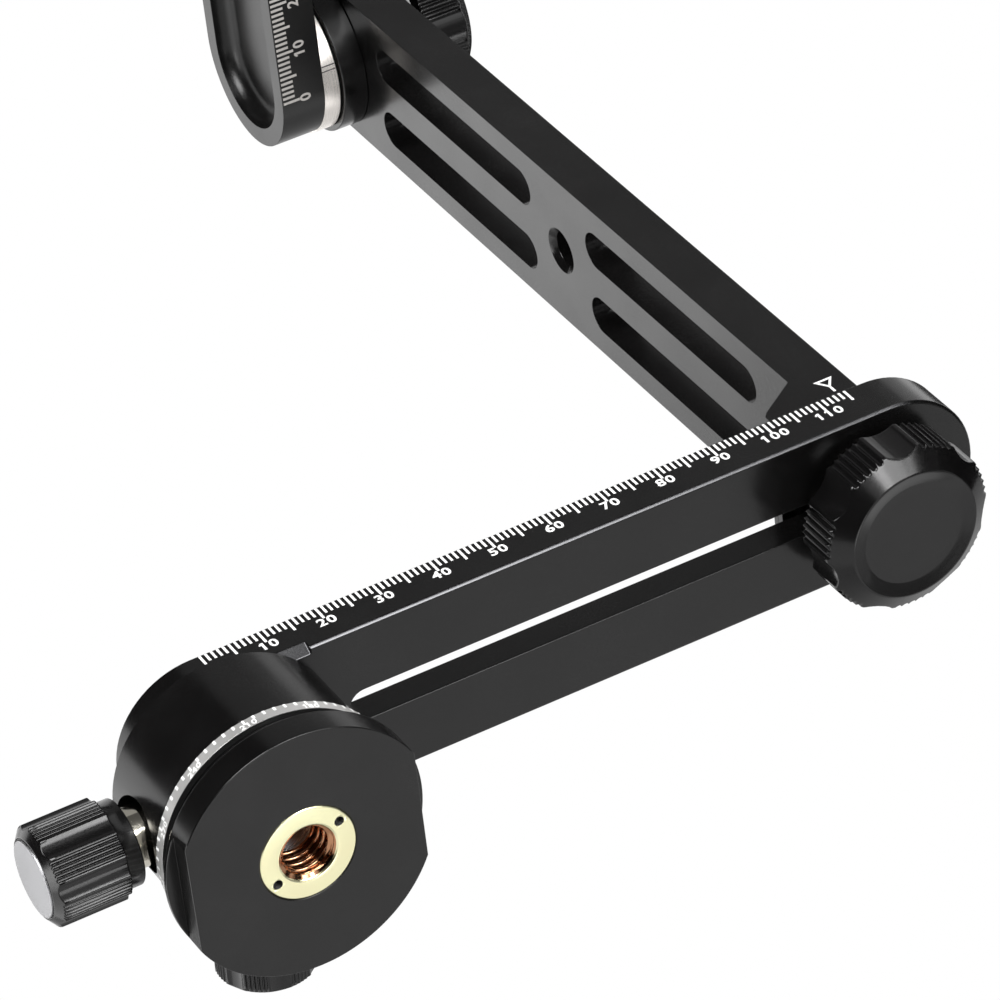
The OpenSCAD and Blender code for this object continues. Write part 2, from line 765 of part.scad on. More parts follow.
module camera_screw() {
    neck = plate_t - pocket_d + camera_neck_in;
    head_z = plate_t + camera_washer_t;
    color(steel) translate([0, camera_screw_y, 0]) on_tilt(plate_x) {
        translate([0, 0, -camera_thread_out]) cylinder(h = camera_thread_out + plate_t - neck,
            r = camera_thread_r);
        translate([0, 0, -camera_thread_out / 2])
            cylinder(h = camera_thread_out / 2 + head_z + overrun, r = camera_neck_r);
        translate([0, 0, head_z]) difference() {
            cylinder(h = camera_head_h, r = camera_head_r);
            translate([-camera_head_r, -coin_slot_w / 2, camera_head_h - coin_slot_d])
                cube([2 * camera_head_r, coin_slot_w, coin_slot_d + overrun]);
            for (i = [0 : head_flutes - 1]) rotate([0, 0, i * 360 / head_flutes])
                translate([camera_head_r, 0, -overrun])
                    cylinder(h = camera_head_h + 2 * overrun, r = head_flute_r, $fn = 24);
        }
    }
}

base_plate();
tripod_bush();
pan_spindle();
spindle_screws();
pan_scale_ring();
thrust_washer();
click_wheel();
wave_washer();
spindle_nut();
pan_housing();
pan_bush();
lower_rail();
rail_screws();
click_guide();
brake_shoe();
pan_lock_screw();
pan_lock_sleeve();
pan_lock_knob();
pan_lock_cap();
click_plunger();
click_knob();
click_knob_cap();
upright_arm();
slide_key();
key_screws();
tilt_boss();
tilt_bush();
clamp_washer();
clamp_screw();
clamp_knob();
camera_plate();
tilt_scale_ring();
ring_screws();
tilt_spindle();
tilt_washer();
tilt_lock_washer();
tilt_lock_knob();
camera_washer();
camera_screw();
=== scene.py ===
"""Looks of a panoramic tripod head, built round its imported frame.

Each sub-assembly is a class that holds its sizes in millimetres and its angles in degrees, and
builds and dresses its own pieces. The camera looks up at the head from below and in front, as the
photograph does.
"""

import functools
import logging
import math
from dataclasses import dataclass, field, replace
from enum import Enum

import bmesh
import bpy
import numpy as np
from mathutils import Matrix, Vector


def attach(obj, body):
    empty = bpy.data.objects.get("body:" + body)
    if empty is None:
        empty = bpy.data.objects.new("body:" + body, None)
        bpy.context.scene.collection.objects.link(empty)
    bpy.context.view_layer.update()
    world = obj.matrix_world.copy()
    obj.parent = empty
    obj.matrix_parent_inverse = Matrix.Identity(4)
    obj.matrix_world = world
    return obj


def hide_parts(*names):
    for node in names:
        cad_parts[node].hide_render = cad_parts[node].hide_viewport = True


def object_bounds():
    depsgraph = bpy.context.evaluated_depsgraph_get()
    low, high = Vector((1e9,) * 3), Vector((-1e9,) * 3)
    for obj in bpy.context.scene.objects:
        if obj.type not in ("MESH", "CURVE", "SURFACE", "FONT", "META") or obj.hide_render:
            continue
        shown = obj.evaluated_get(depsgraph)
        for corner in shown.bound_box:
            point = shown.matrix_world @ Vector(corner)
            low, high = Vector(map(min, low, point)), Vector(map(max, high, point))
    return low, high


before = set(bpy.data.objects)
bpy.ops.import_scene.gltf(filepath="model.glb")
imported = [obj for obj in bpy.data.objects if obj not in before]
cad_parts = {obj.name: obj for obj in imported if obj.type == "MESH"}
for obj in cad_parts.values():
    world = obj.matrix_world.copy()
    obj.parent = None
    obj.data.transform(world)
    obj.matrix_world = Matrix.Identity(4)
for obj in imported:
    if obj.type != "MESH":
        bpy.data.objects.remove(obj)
CAD_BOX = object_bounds()

LOG = logging.getLogger("tripod_head")
MM = 0.001
TURN = 2 * math.pi
MERGE = 0.0005 * MM  # Distance under which two points of a mesh are one, in metres.
CLOUD = 14.0  # Size of the wide drift of colour and gloss, in millimetres.
CONTROL_Z = 19.1  # Height of the pan lock's and the click stop's axes, in millimetres.
TILT_Z = 201.6  # Height of the tilt axis, in millimetres.
Colour = tuple[float, float, float]
Point = tuple[float, float, float]


class Body(Enum):
    """Bodies of the frame that the finished pieces ride on."""

    BASE = "base"
    PAN_STAGE = "pan_stage"
    PAN_LOCK_CONTROL = "pan_lock_control"
    CLICK_CONTROL = "click_control"
    UPRIGHT = "upright"
    RAIL_CLAMP_PAD = "rail_clamp_pad"
    RAIL_CLAMP_CONTROL = "rail_clamp_control"
    TILT_HEAD = "tilt_head"
    TILT_LOCK_PAD = "tilt_lock_pad"
    TILT_LOCK_CONTROL = "tilt_lock_control"
    CAMERA_FIXING = "camera_fixing"


class Slot(Enum):
    """Material slots of the record."""

    BLACK = "black_anodised"
    KNOB = "black_knob"
    SILVER = "silver_anodised"
    BRASS = "brass"
    BRONZE = "bronze"
    NICKEL = "nickel"
    STEEL = "steel"
    SCREW = "black_screw"
    NYLON = "nylon"


class Lay(Enum):
    """Ways in which the fine grain of a surface runs."""

    BLASTED = "even grain in every direction"
    TURNED = "rings round an axis"


class Axis(Enum):
    """Axes of the frame, each with the numbers of its two cross directions and its own."""

    X = (1, 2, 0)
    Y = (2, 0, 1)
    Z = (0, 1, 2)


class Graph:
    """Node graph of one material, with short calls that add nodes and join them."""

    def __init__(self, name: str) -> None:
        """Makes the material with a Principled surface.

        Args:
            name: Name of the material.
        """
        self.material = bpy.data.materials.new(name)
        self.material.use_nodes = True
        self.tree = self.material.node_tree
        self.tree.nodes.clear()
        self.output = self.add("OutputMaterial")
        self.surface = self.add("BsdfPrincipled")
        self.join(self.surface.outputs["BSDF"], self.output.inputs["Surface"])

    def add(self, kind: str, **settings: object) -> bpy.types.Node:
        """Adds a node.

        Args:
            kind: Name of the node's type, without its first word.
            **settings: Values of the node's own fields.

        Returns:
            The new node.
        """
        node = self.tree.nodes.new("ShaderNode" + kind)
        for key, value in settings.items():
            setattr(node, key, value)
        return node

    def join(self, source: bpy.types.NodeSocket, target: bpy.types.NodeSocket) -> None:
        """Joins an output to an input."""
        self.tree.links.new(source, target)

    def give(self, target: bpy.types.NodeSocket, value: object) -> None:
        """Joins a socket to an input, or sets the input to a plain value."""
        if isinstance(value, bpy.types.NodeSocket):
            self.join(value, target)
        else:
            target.default_value = value

    def maths(self, operation: str, first: object, second: object = 0.0) -> bpy.types.NodeSocket:
        """Adds a sum.

        Args:
            operation: Name of the operation.
            first: Socket or number.
            second: Socket or number.

        Returns:
            The result's socket.
        """
        node = self.add("Math", operation=operation)
        self.give(node.inputs[0], first)
        self.give(node.inputs[1], second)
        return node.outputs[0]

    def noise(self, place: bpy.types.NodeSocket, cells: float,
              detail: float) -> bpy.types.NodeSocket:
        """Adds a cloud of noise.

        Args:
            place: Coordinates in metres.
            cells: Cells of the noise in a metre.
            detail: Number of finer octaves.

        Returns:
            The noise, about 0.5.
        """
        node = self.add("TexNoise", noise_dimensions="3D")
        self.join(place, node.inputs["Vector"])
        node.inputs["Scale"].default_value = cells
        node.inputs["Detail"].default_value = detail
        return node.outputs["Fac"]

    def spread(self, value: bpy.types.NodeSocket, low: float, high: float) -> bpy.types.NodeSocket:
        """Maps the middle of a noise to a range, and holds it there.

        Args:
            value: The noise.
            low: Result where the noise is 0.3 or less.
            high: Result where the noise is 0.7 or more.

        Returns:
            The mapped value.
        """
        node = self.add("MapRange")
        self.join(value, node.inputs["Value"])
        for name, number in (("From Min", 0.3), ("From Max", 0.7),
                             ("To Min", low), ("To Max", high)):
            node.inputs[name].default_value = number
        return node.outputs["Result"]


@dataclass(frozen=True)
class Finish:
    """A metal, coating or plastic with its own grain.

    The grain is a noise that changes the roughness and lifts the surface. On a turned surface it
    is read at (distance from the axis, place along the axis), so it runs in rings, as a lathe
    leaves it. A second, wide noise lets the colour and the gloss drift over the piece.

    Attributes:
        name: Name of the material.
        slot: The record's slot; not used by the script.
        colour: Linear colour.
        metallic: Share of bare metal.
        roughness: Mean roughness.
        swing: Change of roughness that the grain brings.
        grain: Size of one grain, in millimetres.
        lift: Height of the grain, in millimetres.
        drift: Share by which the colour drifts.
        lay: How the grain runs.
        axis: Axis of the turned grain.
        centre: A point on that axis, in millimetres.
        coat: Weight of the clear coat.
        shine: Strength of the mirrored light, with 0.5 for glass.
    """

    name: str
    slot: Slot
    colour: Colour
    metallic: float
    roughness: float
    swing: float = 0.06
    grain: float = 0.12
    lift: float = 0.003
    drift: float = 0.2
    lay: Lay = Lay.BLASTED
    axis: Axis = Axis.Z
    centre: Point = (0.0, 0.0, 0.0)
    coat: float = 0.0
    shine: float = 0.5

    def turned(self, axis: Axis, centre: Point) -> "Finish":
        """Gives the same finish as a lathe leaves it round an axis.

        Args:
            axis: Direction of the axis.
            centre: A point on the axis, in millimetres.

        Returns:
            The turned finish.
        """
        place = "_".join(str(round(v)).replace("-", "m") for v in centre)
        name = f"{self.name}_{axis.name.lower()}_{place}"
        return replace(self, name=name, lay=Lay.TURNED, axis=axis, centre=centre)

    def place(self, graph: Graph) -> bpy.types.NodeSocket:
        """Gives the coordinates that the grain is read at.

        Args:
            graph: Node graph of the material.

        Returns:
            Coordinates in metres: those of the object, or the distance from the axis and the place
            along it.
        """
        own = graph.add("TexCoord").outputs["Object"]
        if self.lay is Lay.BLASTED:
            return own
        shifted = graph.add("VectorMath", operation="SUBTRACT")
        graph.join(own, shifted.inputs[0])
        shifted.inputs[1].default_value = [v * MM for v in self.centre]
        parts = graph.add("SeparateXYZ")
        graph.join(shifted.outputs[0], parts.inputs[0])
        first, second, along = (parts.outputs[i] for i in self.axis.value)
        squares = [graph.maths("MULTIPLY", part, part) for part in (first, second)]
        radius = graph.maths("SQRT", graph.maths("ADD", *squares))
        rings = graph.add("CombineXYZ")
        graph.join(radius, rings.inputs[0])
        graph.join(along, rings.inputs[1])
        return rings.outputs[0]


@functools.cache
def material_of(finish: Finish) -> bpy.types.Material:
    """Makes the material of a finish, once.

    Args:
        finish: The finish.

    Returns:
        Its material.
    """
    graph = Graph(finish.name)
    place = finish.place(graph)
    grain = graph.noise(place, 1 / (finish.grain * MM), 3.0)
    wide = graph.noise(graph.add("TexCoord").outputs["Object"], 1 / (CLOUD * MM), 2.0)
    surface = graph.surface.inputs
    mixed = graph.add("Mix", data_type="RGBA", blend_type="MIX")
    graph.join(graph.spread(wide, 0.0, 1.0), mixed.inputs[0])
    for socket, share in ((mixed.inputs[6], 1 - finish.drift), (mixed.inputs[7], 1 + finish.drift)):
        socket.default_value = (*(min(1.0, c * share) for c in finish.colour), 1.0)
    graph.join(mixed.outputs[2], surface["Base Color"])
    rough = graph.maths("ADD", graph.spread(grain, finish.roughness - finish.swing,
                                            finish.roughness + finish.swing),
                        graph.spread(wide, -finish.swing / 2, finish.swing / 2))
    graph.join(rough, surface["Roughness"])
    surface["Metallic"].default_value = finish.metallic
    surface["Coat Weight"].default_value = finish.coat
    surface["Specular IOR Level"].default_value = finish.shine
    bump = graph.add("Bump")
    bump.inputs["Strength"].default_value = 1.0
    bump.inputs["Distance"].default_value = finish.lift * MM
    graph.join(grain, bump.inputs["Height"])
    graph.join(bump.outputs["Normal"], surface["Normal"])
    return graph.material


BLACK = Finish("black_anodised", Slot.BLACK, (0.0042, 0.0040, 0.0040), 0.0, 0.22, grain=0.09,
               lift=0.0010, shine=0.4)
PLATE_BLACK = replace(BLACK, name="plate_black", roughness=0.33)
KNOB_BLACK = Finish("black_knob", Slot.KNOB, (0.0040, 0.0038, 0.0039), 0.0, 0.17, lift=0.0006,
                    shine=0.4)
# Painted highlight: a brighter, more reflective metal for the rail's lower front chamfer, so that
# it shows a bright line.
EDGE_HIGHLIGHT = Finish("edge_highlight", Slot.BLACK, (0.08, 0.08, 0.083), 1.0, 0.24, lift=0.0006, drift=0.05)
WARM_SILVER = Finish("warm_silver", Slot.SILVER, (0.95, 0.90, 0.85), 0.75, 0.3, grain=0.06,
                     lift=0.002, drift=0.05)
RING_SILVER = Finish("ring_silver", Slot.SILVER, (0.50, 0.495, 0.485), 0.6, 0.38, grain=0.05,
                     lift=0.002, drift=0.08)
# Painted shade: near black for the silver degree ring's downward faces.
RING_SHADE = Finish("ring_shade", Slot.SILVER, (0.02, 0.02, 0.02), 0.0, 0.3, lift=0.0005,
                    drift=0.05)
CAP_SILVER = Finish("cap_silver", Slot.SILVER, (0.40, 0.40, 0.41), 0.9, 0.42, grain=0.06,
                    lift=0.002, drift=0.05)
BRASS = Finish("brass", Slot.BRASS, (1.0, 0.94, 0.60), 1.0, 0.22, grain=0.08, lift=0.0012,
               drift=0.04)
THREAD_BRASS = Finish("thread_brass", Slot.BRASS, (0.52, 0.27, 0.15), 1.0, 0.14, lift=0.0006,
                      drift=0.1)
# Painted shade: near black for the walls and floors of the brass spanner holes.
HOLE_SHADE_PAINT = Finish("hole_shade_paint", Slot.BRASS, (0.004, 0.003, 0.003), 0.0, 0.6, drift=0.1)
BRONZE = Finish("bronze", Slot.BRONZE, (0.55, 0.36, 0.19), 1.0, 0.38, drift=0.15)
NICKEL = Finish("nickel", Slot.NICKEL, (0.80, 0.76, 0.68), 1.0, 0.10, lift=0.0005, drift=0.05)
CREAM_NICKEL = Finish("cream_nickel", Slot.NICKEL, (0.95, 0.90, 0.78), 1.0, 0.1, lift=0.0005,
                      drift=0.05)
STEEL = Finish("steel", Slot.STEEL, (0.52, 0.52, 0.53), 1.0, 0.28, lift=0.0015, drift=0.08)
SCREW = Finish("black_screw", Slot.SCREW, (0.022, 0.022, 0.024), 0.6, 0.35, drift=0.2)
NYLON = Finish("nylon", Slot.NYLON, (0.055, 0.055, 0.055), 0.0, 0.45, drift=0.1)
WHITE_PAINT = Finish("white_paint", Slot.BLACK, (0.86, 0.86, 0.85), 0.0, 0.5, lift=0.001,
                     drift=0.04)
GREY_PAINT = replace(WHITE_PAINT, name="grey_paint", colour=(0.42, 0.40, 0.38))
# Painted shade: dark lines that stand for the walls of an engraved line.
GROOVE_SHADE_PAINT = replace(WHITE_PAINT, name="groove_shade_paint", colour=(0.03, 0.03, 0.03))


def dress(piece: bpy.types.Object, finish: Finish, body: Body, *nodes: str) -> bpy.types.Object:
    """Gives a finished piece its material and its body, and hides the nodes that it stands for.

    Args:
        piece: The piece, in place.
        finish: Its finish.
        body: The body that it moves with.
        *nodes: Names of the nodes that it replaces.

    Returns:
        The piece.
    """
    piece.data.materials.clear()
    piece.data.materials.append(material_of(finish))
    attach(piece, body.value)
    if nodes:
        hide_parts(*nodes)
    LOG.info("%s: %d faces, rides on %s", piece.name, len(piece.data.polygons), body.value)
    return piece


def new_piece(name: str, mesh: bpy.types.Mesh) -> bpy.types.Object:
    """Links a mesh into the scene as an object at the origin."""
    piece = bpy.data.objects.new(name, mesh)
    bpy.context.scene.collection.objects.link(piece)
    return piece


def even_shading(piece: bpy.types.Object, bevel: float = 0.0, sharp: float = 28.0) -> None:
    """Rounds the sharp edges of a piece and shades its flats flat.

    Args:
        piece: The piece.
        bevel: Width of the rounding, in millimetres, or zero for none.
        sharp: Least angle of an edge that is rounded, in degrees.
    """
    piece.data.polygons.foreach_set("use_smooth", np.ones(len(piece.data.polygons), bool))
    if bevel > 0:
        rounding = piece.modifiers.new("edges", "BEVEL")
        rounding.width = bevel * MM
        rounding.segments = 3
        rounding.limit_method = "ANGLE"
        rounding.angle_limit = math.radians(sharp)
        rounding.use_clamp_overlap = True
        rounding.miter_outer = "MITER_ARC"
    normals = piece.modifiers.new("normals", "WEIGHTED_NORMAL")
    normals.mode = "FACE_AREA"
    normals.weight = 80
    normals.keep_sharp = False


def machined(node: str, finish: Finish, body: Body, edge: float = 0.2) -> bpy.types.Object:
    """Makes the dressed copy of a node: its facets are merged and its edges are broken.

    Args:
        node: Name of the node.
        finish: Finish of the copy.
        body: Body that it rides on.
        edge: Width of the broken edges, in millimetres.

    Returns:
        The copy, which replaces the node.
    """
    flat = math.radians(0.4)
    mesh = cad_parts[node].data.copy()
    mesh.name = node + "_finished"
    shape = bmesh.new()
    shape.from_mesh(mesh)
    bmesh.ops.remove_doubles(shape, verts=shape.verts, dist=MERGE)
    bmesh.ops.dissolve_limit(shape, angle_limit=flat, use_dissolve_boundaries=False,
                             verts=shape.verts, edges=shape.edges)
    shape.to_mesh(mesh)
    shape.free()
    piece = new_piece(node + "_finished", mesh)
    even_shading(piece, edge)
    return dress(piece, finish, body, node)


def mark_edge(piece: bpy.types.Object, finish: Finish, way: Vector) -> None:
    """Gives the faces of a piece that look one way a finish of their own.

    Args:
        piece: The piece.
        finish: Finish of those faces.
        way: Direction that they look in.
    """
    closeness, unit = 0.98, way.normalized()
    piece.data.materials.append(material_of(finish))
    last = len(piece.data.materials) - 1
    for face in piece.data.polygons:
        if face.normal.dot(unit) > closeness:
            face.material_index = last


def plain(node: str, finish: Finish) -> None:
    """Gives a node that stays as it is its finish.

    Args:
        node: Name of the node.
        finish: Its finish.
    """
    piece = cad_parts[node]
    piece.data.materials.clear()
    piece.data.materials.append(material_of(finish))
    LOG.info("%s: carried over", node)


def surface_mesh(name: str, rings: np.ndarray) -> bpy.types.Mesh:
    """Makes a closed mesh from rings of points, whose first and last ring are single points.

    The face between column j and j + 1 of rings i and i + 1 is a quadrilateral, and the columns
    close on themselves.

    Args:
        name: Name of the mesh.
        rings: Points in millimetres, by ring, column and coordinate.

    Returns:
        The mesh, in metres, with its faces outwards.
    """
    count, columns = rings.shape[0] - 2, rings.shape[1]
    inner = rings[1:-1].reshape(-1, 3)
    points = np.concatenate([inner, rings[:1, 0], rings[-1:, 0]]) * MM
    here = np.arange(columns)
    after = (here + 1) % columns
    start = (np.arange(count - 1) * columns)[:, None]
    above = start + columns
    walls = np.stack([start + here, start + after, above + after, above + here], -1)
    last = (count - 1) * columns
    foot = np.stack([np.full(columns, count * columns), after, here], -1)
    head = np.stack([np.full(columns, count * columns + 1), last + here, last + after], -1)
    mesh = bpy.data.meshes.new(name)
    faces = walls.reshape(-1, 4).tolist() + foot.tolist() + head.tolist()
    mesh.from_pydata(points.tolist(), [], faces)
    shape = bmesh.new()
    shape.from_mesh(mesh)
    bmesh.ops.remove_doubles(shape, verts=shape.verts, dist=MERGE)
    bmesh.ops.recalc_face_normals(shape, faces=shape.faces)
    shape.to_mesh(mesh)
    shape.free()
    mesh.update()
    return mesh


class Facing(Enum):
    """Turns that carry +Z to the way in which a control points, about Y and then about Z."""

    ALONG_X = (90.0, 0.0)
    AGAINST_X = (90.0, 180.0)
    CLICK = (90.0, 92.7)

    def matrix(self, place: Point) -> Matrix:
        """Gives the matrix of a control.

        Args:
            place: Place of its inner end, in millimetres.

        Returns:
            The matrix that carries the control's own frame to the head's, in metres.
        """
        lean, turn = (math.radians(angle) for angle in self.value)
        return (Matrix.Translation(Vector(place) * MM) @ Matrix.Rotation(turn, 4, "Z")
                @ Matrix.Rotation(lean, 4, "Y"))


def soft_least(first: np.ndarray, second: np.ndarray, blend: float) -> np.ndarray:
    """Gives the lesser of two values, rounded where they meet.

    The value is the lesser, less the blend times log(1 + exp(-difference / blend)).

    Args:
        first: First values.
        second: Second values.
        blend: Width of the rounding.

    Returns:
        The rounded lesser values.
    """
    return np.minimum(first, second) - blend * np.log1p(np.exp(-np.abs(first - second) / blend))


@dataclass
class FlutedKnob:
    """A knob with wide flutes and groups of fine grooves, turned from its collar to its face.

    Its surface is a function of the angle and of the place along the profile. The radius is the
    profile's own, or that of the fluted outline where that is less.

    Attributes:
        name: Name of the piece.
        radius: Radius of the grip.
        grip: Length of the grip.
        bevel: Length of the bevel.
        face_r: Radius of the face.
        collar_r: Radius of the collar.
        collar: Length of the collar.
        bore_r: Radius of the bore in the collar.
        bore: Depth of the bore.
        dish_r: Radius of the dish's floor in the face.
        dish: Depth of the dish.
        dish_edge: Width of the dish's sloped edge.
        turn: Angle of the first flute.
        flutes: Number of wide flutes.
        grooves: Number of fine grooves in a group.
        flute_r_share: Radius of a flute's circle, as a share of the grip's.
        flute_d_share: Depth of a flute, as a share of the grip's radius.
        groove_r_share: Radius of a groove's circle, as a share of the grip's.
        groove_pitch: Angle between two grooves of a group, in radians.
        edge: Rounding of the collar's and the grip's back edges.
        crest: Rounding where a cut meets the grip.
    """

    name: str
    radius: float
    grip: float
    bevel: float
    face_r: float
    collar_r: float
    collar: float
    bore_r: float
    bore: float
    dish_r: float
    dish: float
    dish_edge: float
    turn: float = 90.0
    flutes: int = 7
    grooves: int = 5
    flute_r_share: float = 0.4
    flute_d_share: float = 0.066
    groove_r_share: float = 0.036
    groove_pitch: float = 0.088
    edge: float = 0.3
    crest: float = 0.03

    def circles(self) -> tuple[np.ndarray, np.ndarray, np.ndarray]:
        """Gives the circles that cut the grip.

        Returns:
            Their angles, their distances from the knob's axis and their radii.
        """
        step = TURN / self.flutes
        wide = np.arange(self.flutes) * step
        middle = (self.grooves - 1) / 2
        fine = (np.arange(self.grooves) - middle) * self.groove_pitch + step / 2
        groups = (wide[:, None] + fine).ravel()
        flute_r = self.radius * self.flute_r_share
        reach = self.radius * (1 - self.flute_d_share) + flute_r
        angles = np.concatenate([wide, groups]) + math.radians(self.turn)
        distances = np.concatenate([np.full(len(wide), reach), np.full(len(groups), self.radius)])
        radii = np.concatenate([np.full(len(wide), flute_r),
                                np.full(len(groups), self.radius * self.groove_r_share)])
        return angles, distances, radii

    def columns(self) -> np.ndarray:
        """Gives the angles of the surface's columns, close together over each cut.

        Returns:
            Angles in order, in radians.
        """
        even, least = 140, 0.0025
        angles, distances, radii = self.circles()
        cosine = (self.radius ** 2 + distances ** 2 - radii ** 2) / (2 * self.radius * distances)
        half = np.arccos(cosine)
        wide = np.linspace(-1.04, 1.04, 31)
        fine = np.concatenate([[-1.12], np.sin(np.linspace(-1, 1, 11) * math.pi / 2), [1.12]])
        parts = [(angles[:self.flutes, None] + half[:self.flutes, None] * wide).ravel(),
                 (angles[self.flutes:, None] + half[self.flutes:, None] * fine).ravel(),
                 np.linspace(0, TURN, even, endpoint=False)]
        ordered = np.sort(np.mod(np.concatenate(parts), TURN))
        return ordered[np.diff(ordered, append=ordered[0] + TURN) > least]

    def outline(self, columns: np.ndarray) -> np.ndarray:
        """Gives the fluted outline's radius at each column.

        A circle of radius q at distance d and angle a cuts the outline, within its reach, to
        d cos(t - a) - sqrt(q squared - (d sin(t - a)) squared) at the angle t.

        Args:
            columns: Angles in radians.

        Returns:
            Radii in millimetres.
        """
        angles, distances, radii = self.circles()
        off = columns[:, None] - angles
        inside = radii ** 2 - (distances * np.sin(off)) ** 2
        near = distances * np.cos(off) - np.sqrt(np.maximum(inside, 0))
        cut = np.where((inside > 0) & (np.cos(off) > 0), near, 2 * self.radius)
        return soft_least(cut.min(1), np.full(len(columns), self.radius), self.crest)

    def profile(self) -> np.ndarray:
        """Gives the profile's stations, from the bore's floor to the centre of the face.

        Returns:
            Rows of (shift, share, cap, height): the radius is shift + share * outline, but no more
            than the cap.
        """
        far = 10 * self.radius
        back, front = self.collar, self.collar + self.grip
        top = front + self.bevel
        edge = self.edge
        arc = np.linspace(0, math.pi / 2, 5)
        rows = [(0, 0, 0, self.bore), (self.bore_r - 0.1, 0, far, self.bore),
                (self.bore_r, 0, far, self.bore - 0.1), (self.bore_r, 0, far, 0.15),
                (self.bore_r + 0.15, 0, far, 0)]
        rows += [(self.collar_r - edge * (1 - math.sin(a)), 0, far, edge * (1 - math.cos(a)))
                 for a in arc]
        rows += [(self.collar_r, 0, far, back - 0.12), (self.collar_r + 0.12, 0, far, back)]
        rows += [(self.collar_r * (1 - u), u, far, back) for u in (0.3, 0.6, 0.85)]
        rows += [(-edge * (1 - math.sin(a)), 1, far, back + edge * (1 - math.cos(a))) for a in arc]
        rows += [(0, 1, far, back + edge + (self.grip - edge) * u) for u in (0.5, 0.9)]
        rows += [(0, 1, self.radius - (self.radius - self.face_r) * u, front + self.bevel * u)
                 for u in np.linspace(0, 1, 19)]
        rows += [(self.dish_r + self.dish_edge, 0, far, top)]
        rows += [(self.dish_r + self.dish_edge * u, 0, far, top - self.dish * (1 - u))
                 for u in (0.9, 0.5)]
        rows += [(self.dish_r + 0.06, 0, far, top - self.dish + 0.01),
                 (self.dish_r - 0.06, 0, far, top - self.dish)]
        rows += [(self.dish_r * u, 0, far, top - self.dish) for u in (0.8, 0.55, 0.3, 0.1)]
        rows += [(0, 0, 0, top - self.dish)]
        return np.array(rows, float)

    def rings(self) -> np.ndarray:
        """Gives the points of the surface, in its own frame, by station and column."""
        columns = self.columns()
        outline = self.outline(columns)
        shift, share, cap, height = self.profile().T
        free = shift[:, None] + share[:, None] * outline
        fluted = soft_least(free, cap[:, None] + 0 * free, self.crest)
        radius = np.where(share[:, None] > 0, fluted, np.minimum(free, cap[:, None]))
        return np.stack([radius * np.cos(columns), radius * np.sin(columns),
                         height[:, None] + 0 * radius], -1)

    def build(self, place: Matrix, finish: Finish, body: Body, node: str) -> bpy.types.Object:
        """Builds the knob and puts it in place of a node.

        Args:
            place: Carries the knob's own frame, in metres, to the head's.
            finish: Its finish.
            body: The body that it moves with.
            node: The node that it replaces.

        Returns:
            The knob.
        """
        mesh = surface_mesh(self.name, self.rings())
        mesh.transform(place)
        piece = new_piece(self.name, mesh)
        even_shading(piece)
        return dress(piece, finish, body, node)


